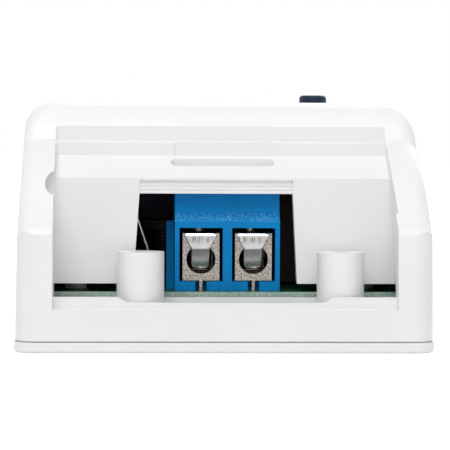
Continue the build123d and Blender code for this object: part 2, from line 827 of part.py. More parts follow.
def make_switch():
    """Tact switch: moulded body with a well, a metal frame, the plunger that the button presses, and legs."""
    body = block(button_x, 0, relay_foot, switch_width, switch_width, switch_height)
    well_foot = relay_foot + switch_height - button_travel - switch_stem_rise - switch_stop_gap
    well = rod(button_x, 0, well_foot, switch_stem_radius + running_clearance, switch_height)
    body = body - well
    frame_top = relay_foot + switch_height
    frame = block(button_x, 0, frame_top, switch_width, switch_width, switch_frame_thickness)
    frame = frame - rod(button_x, 0, frame_top - overrun, switch_stem_radius + running_clearance, 2 * overrun)
    plunger_foot = well_foot + button_travel + switch_stop_gap
    plunger_top = relay_foot + switch_height + switch_stem_rise
    plunger = rod(button_x, 0, plunger_foot, switch_stem_radius, plunger_top - plunger_foot)
    return body, frame, plunger, [lead(x, y) for x, y in switch_leg_places()]


def make_relay_shell():
    """Sealed relay: a box open at the bottom and the base plate that closes it."""
    case = block(relay_x, relay_y, relay_foot, relay_width, relay_length, relay_height)
    inner_width = relay_width - 2 * relay_wall
    inner_length = relay_length - 2 * relay_wall
    inner_top = relay_foot + relay_height - relay_wall
    case = case - block(relay_x, relay_y, 0, inner_width, inner_length, inner_top)
    base = block(relay_x, relay_y, relay_foot, inner_width, inner_length, relay_base_height)
    return case, base


def make_relay_motor():
    """Coil, core and yoke of the relay."""
    tube_radius = relay_core_radius + relay_tube_wall
    bobbin = rod(relay_x, relay_coil_y, relay_coil_foot, tube_radius, relay_coil_height)
    for foot in (relay_coil_foot, relay_coil_foot + relay_coil_height - relay_bobbin_flange):
        bobbin = bobbin + rod(relay_x, relay_coil_y, foot, relay_bobbin_radius, relay_bobbin_flange)
    bobbin = bobbin - rod(relay_x, relay_coil_y, 0, relay_core_radius, case_height)
    wound_foot = relay_coil_foot + relay_bobbin_flange
    wound_height = relay_coil_height - 2 * relay_bobbin_flange
    winding = rod(relay_x, relay_coil_y, wound_foot, relay_coil_radius, wound_height)
    winding = winding - rod(relay_x, relay_coil_y, 0, tube_radius, case_height)
    core = rod(relay_x, relay_coil_y, relay_coil_foot, relay_core_radius, relay_coil_height)
    pole_foot = relay_pole_top - relay_pole_height
    core = core + rod(relay_x, relay_coil_y, pole_foot, relay_pole_radius, relay_pole_height)
    foot_length = relay_coil_y + relay_pole_radius - relay_leg_y
    yoke_y = relay_leg_y + foot_length / 2
    yoke = block(relay_x, yoke_y, relay_base_top, relay_yoke_width, foot_length, relay_yoke_thickness)
    leg_top = relay_arm_foot - relay_pivot_gap
    leg_y = relay_leg_y + relay_yoke_thickness / 2
    leg_height = leg_top - relay_base_top
    leg = block(relay_x, leg_y, relay_base_top, relay_yoke_width, relay_yoke_thickness, leg_height)
    return bobbin, winding, core, yoke + leg


def make_relay_contacts():
    """Armature, the blade it carries with its contact, and the fixed contact on its post."""
    arm_y = relay_leg_y + relay_arm_overlap / 2
    arm = block(relay_x, arm_y, relay_arm_foot, relay_yoke_width, relay_arm_overlap, relay_armature_thickness)
    blade_foot = relay_arm_foot + relay_armature_thickness
    blade_start = relay_coil_y - relay_pole_radius
    blade_length = relay_tip_y - blade_start
    blade_y = blade_start + blade_length / 2
    blade = block(relay_x, blade_y, blade_foot, relay_blade_width, blade_length, relay_blade_thickness)
    rivet_y = relay_tip_y - relay_contact_radius
    moving_foot = blade_foot - relay_contact_height
    moving = rod(relay_x, rivet_y, moving_foot, relay_contact_radius, relay_contact_height)
    fixed_top = blade_foot - relay_contact_height - relay_contact_gap
    fixed_foot = fixed_top - relay_contact_height
    fixed = rod(relay_x, rivet_y, fixed_foot, relay_contact_radius, relay_contact_height)
    post_rise = fixed_top - relay_contact_height - relay_base_top
    post = block(relay_x, rivet_y, relay_base_top, relay_blade_width, relay_post_thickness, post_rise)
    return arm, blade + moving, fixed + post


def make_transformer():
    """Small switching transformer: ferrite core, bobbin with feet, taped winding, pins."""
    x, y, foot = transformer_x, transformer_y, board_top + standoff
    core_foot = foot + transformer_foot
    core_height = transformer_height - transformer_foot
    core = block(x, y, core_foot, transformer_width, transformer_core_depth, core_height)
    window_width = (transformer_width - transformer_core_leg) / 2 - transformer_core_side
    window_height = core_height - 2 * transformer_core_yoke
    window_foot = core_foot + transformer_core_yoke
    window_x = (transformer_core_leg + window_width) / 2
    for side in (-1, 1):
        place_x = x + side * window_x
        core = core - block(place_x, y, window_foot, window_width, transformer_length, window_height)
    full_width = transformer_core_leg + 2 * window_width - 2 * transformer_gap
    leg_width = transformer_core_leg + 2 * transformer_gap
    leg_length = transformer_core_depth + 2 * transformer_gap
    tube_width = leg_width + 2 * transformer_tube
    tube_length = leg_length + 2 * transformer_tube
    flange_foot = window_foot + transformer_gap
    flange_top = window_foot + window_height - transformer_gap
    bobbin = block(x, y, flange_foot, tube_width, tube_length, flange_top - flange_foot)
    for level in (flange_foot, flange_top - transformer_flange):
        bobbin = bobbin + block(x, y, level, full_width, transformer_length, transformer_flange)
    rail_length = (transformer_length - transformer_core_depth) / 2 - transformer_gap
    for side in (-1, 1):
        rail_y = y + side * (transformer_length - rail_length) / 2
        rail_height = flange_foot + transformer_flange / 2 - foot
        bobbin = bobbin + block(x, rail_y, foot, full_width, rail_length, rail_height)
    bobbin = bobbin - block(x, y, flange_foot - overrun, leg_width, leg_length, case_height)
    wound_height = flange_top - flange_foot - 2 * transformer_flange
    wound_width = full_width - 2 * transformer_gap
    wound_length = transformer_length - transformer_flange
    winding = block(x, y, flange_foot + transformer_flange, wound_width, wound_length, wound_height)
    winding = winding - block(x, y, 0, tube_width, tube_length, case_height)
    return core, bobbin, winding, [lead(px, py) for px, py in transformer_pin_places()]


def make_round_capacitor(place, radius, height):
    """An upright can with the crimped groove near its foot and a rounded top edge."""
    x, y = place
    can = rod(x, y, board_top + standoff, radius, height)
    can = fillet(can.edges().group_by(Axis.Z)[-1], capacitor_groove)
    groove = Torus(radius + capacitor_groove / 2, capacitor_groove)
    return can - Pos(x, y, board_top + standoff + capacitor_groove_height) * groove


def make_film_capacitor():
    """Boxed film capacitor beside the near terminal block."""
    body = block(film_capacitor_x, film_capacitor_y, board_top + standoff, film_capacitor_width,
                 film_capacitor_length, film_capacitor_height)
    return fillet(body.edges().filter_by(Axis.Z), capacitor_groove)


def make_varistor():
    """Dipped disc that stands on its edge across the board."""
    centre_height = board_top + standoff + varistor_radius
    disc = Rot(0, 90, 0) * Cylinder(varistor_radius, varistor_thickness)
    disc = fillet(disc.edges(), varistor_thickness / 4)
    coating_length = varistor_radius + 2 * lead_radius
    foot = block(varistor_x, varistor_y, board_top + standoff, varistor_thickness / 2, coating_length,
                 varistor_radius / 2)
    return (Pos(varistor_x, varistor_y, centre_height) * disc) + foot


def make_fusible_resistor():
    """Upright resistor, and its wire bent over and slanting back down to the board."""
    foot = board_top + resistor_rise
    top = foot + resistor_height
    body = rod(resistor_x, resistor_y, foot, resistor_radius, resistor_height)
    body = fillet(body.edges(), capacitor_groove)
    bend_top = top + resistor_bend_rise
    start = (resistor_x, resistor_y, top - resistor_bend_rise)
    tip = board_underside - lead_below
    points = [start, (resistor_x, resistor_y, bend_top),
              (resistor_x + resistor_bend_reach, resistor_y, bend_top),
              (resistor_lead_x, resistor_y, board_top + resistor_rise), (resistor_lead_x, resistor_y, tip)]
    path = FilletPolyline(*points, radius=resistor_bend_rise)
    wire = sweep(Plane(origin=start, z_dir=(0, 0, 1)) * Circle(resistor_wire_radius), path=path)
    stub = rod(resistor_x, resistor_y, tip, lead_radius, foot - tip)
    return body - wire, [wire - body, stub]


def make_inductor():
    """Drum choke: two flanges round a wound waist."""
    foot = board_top + standoff
    drum = rod(inductor_x, inductor_y, foot, inductor_waist_radius, inductor_height)
    for level in (foot, foot + inductor_height - inductor_flange):
        drum = drum + rod(inductor_x, inductor_y, level, inductor_radius, inductor_flange)
    wound_height = inductor_height - 2 * inductor_flange
    winding = rod(inductor_x, inductor_y, foot + inductor_flange, inductor_radius - standoff, wound_height)
    return drum, winding - rod(inductor_x, inductor_y, 0, inductor_waist_radius, case_height)


def chip(x, y, size):
    """A small moulded body that sits just above the board."""
    width, length, height = size
    return block(x, y, board_top + foot_rise, width, length, height)


def chip_feet(x, y, size, per_side):
    """Two rows of flat feet beside a chip, soldered to the board."""
    width, length, height = size
    feet = []
    for side in (-1, 1):
        for index in range(per_side):
            foot_y = y + (index - (per_side - 1) / 2) * foot_pitch
            feet.append(block(x + side * (width + foot_length) / 2, foot_y, board_top, foot_length, foot_width,
                              foot_rise + foot_thickness))
    return feet


def row_places(sizes, start_x):
    """Centres along X of parts laid side by side from start_x with a gap between them."""
    places = []
    x = start_x
    for size in sizes:
        places.append(x + foot_length + size[0] / 2)
        x = x + size[0] + 2 * foot_length + part_gap / 2
    return places


def make_flat_parts():
    """Everything soldered flat on top of the board, by node name."""
    parts = {}
    feet = []
    supply = (("bridge_rectifier", bridge_size, 2), ("power_controller_chip", controller_size, 4),
              ("output_diode", diode_size, 1), ("voltage_regulator", regulator_size, 3))
    start_x = -(board_width / 2 - edge_margin)
    for (name, size, per_side), x in zip(supply, row_places([entry[1] for entry in supply], start_x)):
        parts[name] = chip(x, supply_row_y, size)
        feet += chip_feet(x, supply_row_y, size, per_side)
    radio_start = start_x + antenna_span + part_gap
    radio = (
        ("crystal", crystal_size, 2), ("radio_chip", radio_chip_size, 4), ("memory_chip", memory_chip_size, 3),
    )
    for (name, size, per_side), x in zip(radio, row_places([entry[1] for entry in radio], radio_start)):
        parts[name] = chip(x, radio_row_y, size)
        feet += chip_feet(x, radio_row_y, size, per_side)
    led_x = board_width / 2 - edge_margin - led_size[0] / 2
    led_y = -(switch_width / 2 + part_gap + led_size[1] / 2)
    parts["status_led"] = block(led_x, led_y, board_top, *led_size)
    resistor_span = chip_resistor_size[0] + part_gap
    capacitor_span = chip_capacitor_size[0] + part_gap
    resistor_places = [radio_start + index * resistor_span for index in range(chip_resistor_count)]
    capacitor_row = [radio_start + index * capacitor_span for index in range(chip_capacitor_count)]
    resistors = [block(x, resistor_row_y, board_top, *chip_resistor_size) for x in resistor_places]
    parts["chip_resistors"] = resistors
    parts["chip_capacitors"] = [block(x, capacitor_row_y, board_top, *chip_capacitor_size)
                                for x in capacitor_row]
    transistor_x = radio_start + chip_resistor_count * resistor_span
    parts["relay_transistor"] = chip(transistor_x, resistor_row_y, transistor_size)
    feet += chip_feet(transistor_x, resistor_row_y, transistor_size, 1)
    parts["chip_feet"] = feet
    return parts


def make_antenna():
    """Printed meander of thin track at the left edge of the board."""
    left = -(board_width / 2 - antenna_margin)
    track = None
    for turn in range(antenna_turns):
        y = radio_row_y + (turn - (antenna_turns - 1) / 2) * antenna_pitch
        run = block(left + antenna_span / 2, y, board_top, antenna_span, antenna_track, antenna_thickness)
        track = run if track is None else track + run
        if turn < antenna_turns - 1:
            side = 1 if turn % 2 == 0 else 0
            link_x = left + antenna_track / 2 + side * (antenna_span - antenna_track)
            link = block(link_x, y + antenna_pitch / 2, board_top, antenna_track, antenna_pitch, antenna_thickness)
            track = track + link
    return track


def all_parts():
    """Every node of the module by name: one solid, or a list of separate solids."""
    form = outer_form()
    switch_body, switch_frame, plunger, switch_legs = make_switch()
    relay_case, relay_base = make_relay_shell()
    bobbin, winding, core, yoke = make_relay_motor()
    armature, moving_contact, fixed_contact = make_relay_contacts()
    ferrite, former, wound, transformer_pins = make_transformer()
    mains_places, output_places = capacitor_places()
    mains = [make_round_capacitor(place, mains_capacitor_radius, mains_capacitor_height) for place in mains_places]
    output = [make_round_capacitor(place, output_capacitor_radius, output_capacitor_height)
              for place in output_places]
    resistor, resistor_wires = make_fusible_resistor()
    choke_core, choke_winding = make_inductor()
    nodes = {
        "upper_housing": make_upper_housing(form),
        "base_cover": make_base_cover(),
        "end_cover": make_end_cover(form),
        "cover_screws": make_cover_screws(),
        "circuit_board": make_circuit_board(),
        "solder_joints": make_solder_joints(),
        "button": make_button(),
        "switch_body": switch_body,
        "switch_frame": switch_frame,
        "switch_plunger": plunger,
        "switch_legs": switch_legs,
        "relay_case": relay_case,
        "relay_base": relay_base,
        "relay_bobbin": bobbin,
        "relay_winding": winding,
        "relay_core": core,
        "relay_yoke": yoke,
        "relay_armature": armature,
        "relay_moving_contact": moving_contact,
        "relay_fixed_contact": fixed_contact,
        "relay_pins": [lead(x, y) for x, y in relay_pin_places()],
        "transformer_core": ferrite,
        "transformer_bobbin": former,
        "transformer_winding": wound,
        "transformer_pins": transformer_pins,
        "mains_capacitors": mains,
        "output_capacitor": output,
        "film_capacitor": make_film_capacitor(),
        "capacitor_leads": [lead(x, y) for x, y in capacitor_lead_places()],
        "varistor": make_varistor(),
        "choke_core": choke_core,
        "choke_winding": choke_winding,
        "small_leads": [lead(x, y) for x, y in small_lead_places()],
        "fusible_resistor": resistor,
        "resistor_wires": resistor_wires,
        "printed_antenna": make_antenna(),
    }
    nodes.update(make_flat_parts())
    housing = make_terminal_housing()
    cages = make_clamp_cages()
    nodes["near_terminal_housing"] = housing
    nodes["far_terminal_housing"] = turned(housing)
    nodes["near_clamp_cages"] = cages
    nodes["far_clamp_cages"] = [turned(cage) for cage in cages]
    for place, x in zip(("left", "right"), pole_places):
        leaf = make_clamp_leaf(x)
        screw = make_clamp_screw(x)
        nodes[f"near_{place}_clamp_leaf"] = leaf
        nodes[f"near_{place}_clamp_screw"] = screw
        nodes[f"far_{place}_clamp_leaf"] = turned(leaf)
        nodes[f"far_{place}_clamp_screw"] = turned(screw)
    return nodes


os.makedirs("parts", exist_ok=True)
for node, shape in all_parts().items():
    solids = shape if isinstance(shape, list) else [shape]
    pieces = [solid for item in solids for solid in item.solids()]
    export_step(Compound(children=pieces) if len(pieces) > 1 else pieces[0], f"parts/{node}.step")
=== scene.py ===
"""Looks of a small inline relay module: its finishes, softened mouldings, metal parts and studio."""

import json
import logging
import math
from dataclasses import dataclass, field
from enum import Enum
from typing import Callable

import bmesh
import bpy
import numpy as np
from mathutils import Euler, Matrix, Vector


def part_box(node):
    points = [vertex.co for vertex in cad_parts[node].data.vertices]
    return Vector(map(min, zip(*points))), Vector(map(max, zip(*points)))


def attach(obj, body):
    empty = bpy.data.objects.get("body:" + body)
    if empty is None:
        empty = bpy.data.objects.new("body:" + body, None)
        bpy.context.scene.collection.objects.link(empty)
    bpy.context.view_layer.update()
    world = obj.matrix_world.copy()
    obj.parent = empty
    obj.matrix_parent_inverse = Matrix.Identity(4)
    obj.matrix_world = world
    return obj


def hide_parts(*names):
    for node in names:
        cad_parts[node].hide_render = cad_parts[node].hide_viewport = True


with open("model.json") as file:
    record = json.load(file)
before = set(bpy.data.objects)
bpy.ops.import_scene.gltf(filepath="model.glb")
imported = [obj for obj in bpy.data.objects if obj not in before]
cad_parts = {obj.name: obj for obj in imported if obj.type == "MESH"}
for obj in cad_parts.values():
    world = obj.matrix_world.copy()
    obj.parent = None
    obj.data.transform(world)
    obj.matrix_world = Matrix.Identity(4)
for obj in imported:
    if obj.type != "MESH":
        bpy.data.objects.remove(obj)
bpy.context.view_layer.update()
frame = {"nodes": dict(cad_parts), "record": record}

MM = 0.001
log = logging.getLogger("relay_module")

Colour = tuple[float, float, float]
Point = tuple[float, float, float]
Box = tuple[Point, Point]
Range = tuple[float, float]

FULL_SRGB = 255.0
WAVE_FACTOR = 20  # what the wave texture multiplies its coordinates by


class Space(Enum):
    """How a pattern is laid out: alike along all axes, or drawn out along Z."""

    EVEN = (1.0, 1.0, 1.0)
    ALONG_Z = (1.0, 1.0, 0.08)


class Detail(Enum):
    """How many finer layers a cloud pattern has."""

    PLAIN = 2.0
    FINE = 3.0
    FINEST = 4.0


def from_srgb(red: float, green: float, blue: float) -> Colour:
    """Turns an eight-bit display colour into the linear one that shaders take, by the sRGB standard's curve.

    Args:
        red: Red from 0 to 255.
        green: Green from 0 to 255.
        blue: Blue from 0 to 255.

    Returns:
        The colour in linear light.
    """
    levels = np.array([red, green, blue]) / FULL_SRGB
    low, high = levels / 12.92, ((levels + 0.055) / 1.055) ** 2.4
    return tuple(float(level) for level in np.where(levels <= 0.04045, low, high))


class NodeBoard:
    """A material under construction: a Principled shader with helpers that add and join nodes."""

    def __init__(self, name: str) -> None:
        """Starts an empty material with its shader and output.

        Args:
            name: The finish's name.
        """
        self.material = bpy.data.materials.new(name)
        self.material.use_nodes = True
        self.tree = self.material.node_tree
        self.tree.nodes.clear()
        self.shader = self.tree.nodes.new("ShaderNodeBsdfPrincipled")
        output = self.tree.nodes.new("ShaderNodeOutputMaterial")
        self.tree.links.new(self.shader.outputs["BSDF"], output.inputs["Surface"])
        self.coordinates = self.tree.nodes.new("ShaderNodeTexCoord")

    def add(self, kind: str, **inputs: object) -> bpy.types.Node:
        """Adds a node and fills its sockets.

        Args:
            kind: The node's type without its common prefix.
            **inputs: Values or output sockets by socket name, with underscores for spaces.

        Returns:
            The new node.
        """
        node = self.tree.nodes.new("ShaderNode" + kind)
        for name, value in inputs.items():
            self.feed(node.inputs[name.replace("_", " ")], value)
        return node

    def feed(self, socket: bpy.types.NodeSocket, value: object) -> None:
        """Sets a socket to a value, or links an output to it.

        Args:
            socket: The input to fill.
            value: A number, a colour or an output socket.
        """
        if isinstance(value, bpy.types.NodeSocket):
            self.tree.links.new(value, socket)
        elif isinstance(value, tuple) and len(value) == 3 and socket.type == "RGBA":
            socket.default_value = (*value, 1.0)
        else:
            socket.default_value = value

    def place(self, space: Space = Space.EVEN) -> bpy.types.NodeSocket:
        """Object coordinates, drawn out along one axis where the pattern asks for it."""
        mapping = self.add("Mapping", Vector=self.coordinates.outputs["Object"], Scale=space.value)
        return mapping.outputs["Vector"]

    def noise(self, size_mm: float, detail: Detail = Detail.PLAIN,
              space: Space = Space.EVEN) -> bpy.types.NodeSocket:
        """A cloud pattern whose grains are about size_mm across.

        Args:
            size_mm: Grain size in millimetres.
            detail: How many finer layers it has.
            space: How it is drawn out.

        Returns:
            The pattern from 0 to 1.
        """
        node = self.add("TexNoise", Vector=self.place(space), Scale=1.0 / (size_mm * MM), Detail=detail.value)
        return node.outputs["Fac"]

    def calculate(self, operation: str, *values: object) -> bpy.types.NodeSocket:
        """Works out one number from one or two.

        Args:
            operation: What is done with them, by the node's own word.
            *values: Numbers or output sockets.

        Returns:
            The result.
        """
        node = self.add("Math")
        node.operation = operation
        for socket, value in zip(node.inputs, values):
            self.feed(socket, value)
        return node.outputs["Value"]

    def stored(self, name: str) -> bpy.types.NodeSocket:
        """Reads the numbers that mark() stored on a piece.

        Args:
            name: The attribute's name.

        Returns:
            The stored number.
        """
        node = self.add("Attribute")
        node.attribute_name = name
        return node.outputs["Fac"]

    def facing(self) -> bpy.types.Node:
        """Splits the surface's own direction into X, Y and Z."""
        return self.add("SeparateXYZ", Vector=self.coordinates.outputs["Normal"])

    def blend_colours(self, factor: bpy.types.NodeSocket, first: object, second: object) -> bpy.types.NodeSocket:
        """Mixes two colours by a factor.

        Args:
            factor: Pattern from 0 to 1.
            first: Colour or socket at 0.
            second: Colour or socket at 1.

        Returns:
            The mixed colour.
        """
        node = self.tree.nodes.new("ShaderNodeMix")
        node.data_type = "RGBA"
        self.feed(node.inputs["Factor"], factor)
        colour_sockets = [socket for socket in node.inputs if socket.type == "RGBA"]
        self.feed(colour_sockets[0], first)
        self.feed(colour_sockets[1], second)
        return next(socket for socket in node.outputs if socket.type == "RGBA")

    def spread(self, value: bpy.types.NodeSocket, low: float, high: float,
               start: float = 0.3, stop: float = 0.7) -> bpy.types.NodeSocket:
        """Maps a pattern's middle range onto low to high.

        Args:
            value: The pattern.
            low: Result at start.
            high: Result at stop.
            start: Where the range begins.
            stop: Where it ends.

        Returns:
            The mapped value.
        """
        node = self.add("MapRange", Value=value)
        for name, number in (("From Min", start), ("From Max", stop), ("To Min", low), ("To Max", high)):
            node.inputs[name].default_value = number
        return node.outputs["Result"]

    def bump(self, height: bpy.types.NodeSocket, depth_mm: float) -> None:
        """Roughens the surface by a pattern of the given depth in millimetres."""
        node = self.add("Bump", Height=height, Distance=depth_mm * MM, Strength=1.0)
        self.tree.links.new(node.outputs["Normal"], self.shader.inputs["Normal"])

    def roughen(self, pattern: bpy.types.NodeSocket, middle: float, wander: Range) -> None:
        """Lets the roughness wander with a pattern, by so much below and above its middle."""
        self.feed(self.shader.inputs["Roughness"], self.spread(pattern, *(middle + shift for shift in wander)))


@dataclass(frozen=True)
class Moulded:
    """Injection-moulded plastic: fine grain, faint mottling and a roughness that wanders.

    Attributes:
        name: The finish's name.
        colour: Its main colour.
        shade: The colour of its mottling.
        roughness: Middle of its roughness.
        grain_mm: Size of the surface grain.
        grain_depth_mm: Depth of the grain.
        mottle_mm: Size of the mottling.
        coat: Weight of a clear coat.
        specular: Strength of the plain reflection.
        painted_glint: Colour of the painted glints, pale specks of painted light on sloping faces, where it has
            them.
        glint_mm: Size of these specks.
        glint_range: Part of the pattern over which a speck fades in.
        slope_range: Product of a face's Y and Z over which it counts as sloping.
        wander: How far the roughness goes below and above its middle.
        coat_roughness: Roughness of the clear coat.
    """

    name: str
    colour: Colour
    shade: Colour
    roughness: float = 0.4
    grain_mm: float = 0.25
    grain_depth_mm: float = 0.004
    mottle_mm: float = 9.0
    coat: float = 0.0
    specular: float = 0.5
    painted_glint: Colour | None = None
    glint_mm: float = 0.12
    glint_range: Range = (0.55, 0.7)
    slope_range: Range = (0.2, 0.4)
    wander: Range = (-0.05, 0.06)
    coat_roughness: float = 0.12

    def sloping(self, board: NodeBoard) -> bpy.types.NodeSocket:
        """One on faces that slope between upright and level, and nought on both of those: where the painted glints
        go.

        Args:
            board: The finish under construction.

        Returns:
            The mask.
        """
        face = board.facing()
        product = board.calculate("MULTIPLY", face.outputs["Y"], face.outputs["Z"])
        return board.spread(board.calculate("ABSOLUTE", product), 0.0, 1.0, *self.slope_range)

    def material(self) -> bpy.types.Material:
        """Builds the finish.

        Returns:
            The material.
        """
        board = NodeBoard(self.name)
        mottle = board.spread(board.noise(self.mottle_mm, Detail.FINE), 0.0, 1.0)
        colour = board.blend_colours(mottle, self.colour, self.shade)
        # Painted glints: pale specks painted on sloping faces, standing in for light caught there.
        if self.painted_glint:
            specks = board.spread(board.noise(self.glint_mm, Detail.FINE), 0.0, 1.0, *self.glint_range)
            glint_mask = board.calculate("MULTIPLY", specks, self.sloping(board))
            colour = board.blend_colours(glint_mask, colour, self.painted_glint)
        board.feed(board.shader.inputs["Base Color"], colour)
        board.roughen(board.noise(self.mottle_mm / 4), self.roughness, self.wander)
        board.shader.inputs["Specular IOR Level"].default_value = self.specular
        board.shader.inputs["Coat Weight"].default_value = self.coat
        board.shader.inputs["Coat Roughness"].default_value = self.coat_roughness
        board.bump(board.noise(self.grain_mm, Detail.FINE), self.grain_depth_mm)
        return board.material


@dataclass(frozen=True)
class Plated:
    """Stamped or drawn metal with a thin plating: draw lines and cloudy tarnish.

    Attributes:
        name: The finish's name.
        colour: Colour of the clean plating.
        tarnish: Colour of the clouds on it.
        roughness: Middle of its roughness.
        lines: How the draw lines run.
        line_mm: Width of a draw line.
        line_depth_mm: Depth of a draw line.
        cloud_mm: Size of the clouds.
        highlight_colour: Colour of the painted highlight, where a piece marks one.
        stroke: Colour of the dark strokes where a piece is marked as stamped.
        clouding: Part of the pattern over which a cloud fades in.
        stroke_range: Part of the draw lines' pattern over which a stroke fades out.
        wander: How far the roughness goes below and above its middle.
    """

    name: str
    colour: Colour
    tarnish: Colour
    roughness: float = 0.28
    lines: Space = Space.ALONG_Z
    line_mm: float = 0.12
    line_depth_mm: float = 0.002
    cloud_mm: float = 1.4
    highlight_colour: Colour | None = None
    stroke: Colour | None = None
    clouding: Range = (0.35, 0.75)
    stroke_range: Range = (0.41, 0.5)
    wander: Range = (-0.08, 0.12)

    def material(self) -> bpy.types.Material:
        """Builds the finish.

        Returns:
            The material.
        """
        board = NodeBoard(self.name)
        board.shader.inputs["Metallic"].default_value = 1.0
        cloud = board.spread(board.noise(self.cloud_mm, Detail.FINEST), 0.0, 1.0, *self.clouding)
        colour = board.blend_colours(cloud, self.colour, self.tarnish)
        streaks = board.noise(self.line_mm, Detail.PLAIN, self.lines)
        if self.stroke:
            strokes = board.spread(streaks, 1.0, 0.0, *self.stroke_range)
            marks = board.calculate("MULTIPLY", strokes, board.stored("stamped"))
            colour = board.blend_colours(marks, colour, self.stroke)
        # Painted highlight: a near-white band where a piece marks one, on the guards' rolled top edge.
        if self.highlight_colour:
            colour = board.blend_colours(board.stored("painted_highlight"), colour, self.highlight_colour)
        board.feed(board.shader.inputs["Base Color"], colour)
        board.roughen(streaks, self.roughness, self.wander)
        board.bump(streaks, self.line_depth_mm)
        return board.material


@dataclass(frozen=True)
class Laminate:
    """Circuit board: green resist on its faces, pale speckled glass and resin on its cut edges.

    Attributes:
        name: The finish's name.
        resist: Colour of the resist.
        resist_shade: Colour of the clouds in it.
        edge: Colour of a cut edge.
        edge_speck: Colour of its specks.
        weave_mm: Size of the specks and of the surface grain.
        weave_depth_mm: Depth of the grain.
        cloud_weaves: Size of the resist's clouds, in specks.
        speck_range: Part of the pattern over which a speck fades in.
        level_range: How far a face's direction points up where edge gives way to resist.
        edge_roughness: Roughness of a cut edge.
        resist_roughness: Roughness of the resist.
    """

    name: str
    resist: Colour
    resist_shade: Colour
    edge: Colour
    edge_speck: Colour
    weave_mm: float = 0.2
    weave_depth_mm: float = 0.008
    cloud_weaves: int = 8
    speck_range: Range = (0.42, 0.58)
    level_range: Range = (0.4, 0.6)
    edge_roughness: float = 0.75
    resist_roughness: float = 0.3

    def material(self) -> bpy.types.Material:
        """Builds the finish.

        Returns:
            The material.
        """
        board = NodeBoard(self.name)
        upright = board.calculate("ABSOLUTE", board.facing().outputs["Z"])
        face = board.spread(upright, 0.0, 1.0, *self.level_range)
        speck = board.spread(board.noise(self.weave_mm, Detail.FINEST), 0.0, 1.0, *self.speck_range)
        edge = board.blend_colours(speck, self.edge, self.edge_speck)
        cloud = board.spread(board.noise(self.weave_mm * self.cloud_weaves, Detail.FINE), 0.0, 1.0)
        resist = board.blend_colours(cloud, self.resist, self.resist_shade)
        board.feed(board.shader.inputs["Base Color"], board.blend_colours(face, edge, resist))
        board.feed(board.shader.inputs["Roughness"],
                   board.spread(face, self.edge_roughness, self.resist_roughness, 0.0, 1.0))
        board.bump(board.noise(self.weave_mm, Detail.FINE), self.weave_depth_mm)
        return board.material


@dataclass(frozen=True)
class Wound:
    """Layers of wire or tape seen from outside: soft bands stacked along Z.

    Attributes:
        name: The finish's name.
        colour: Colour of a band.
        gap: Colour between bands.
        band_mm: Height of a band over two pi, as the wave texture counts it.
        roughness: Middle of its roughness.
        metallic: How metallic it is.
        distortion: How unevenly the bands run.
        cloud_mm: Size of the clouds in its roughness.
        wander: How far the roughness goes below and above its middle.
    """

    name: str
    colour: Colour
    gap: Colour
    band_mm: float
    roughness: float = 0.35
    metallic: float = 0.6
    distortion: float = 0.3
    cloud_mm: float = 1.5
    wander: Range = (-0.05, 0.1)

    def material(self) -> bpy.types.Material:
        """Builds the finish.

        Returns:
            The material.
        """
        board = NodeBoard(self.name)
        scale = 1.0 / (self.band_mm * MM * WAVE_FACTOR)
        bands = board.add("TexWave", Vector=board.place(), Scale=scale, Distortion=self.distortion)
        bands.bands_direction = "Z"
        pattern = bands.outputs["Fac"]
        board.feed(board.shader.inputs["Base Color"], board.blend_colours(pattern, self.gap, self.colour))
        board.roughen(board.noise(self.cloud_mm), self.roughness, self.wander)
        board.shader.inputs["Metallic"].default_value = self.metallic
        board.bump(pattern, self.band_mm / 4)
        return board.material


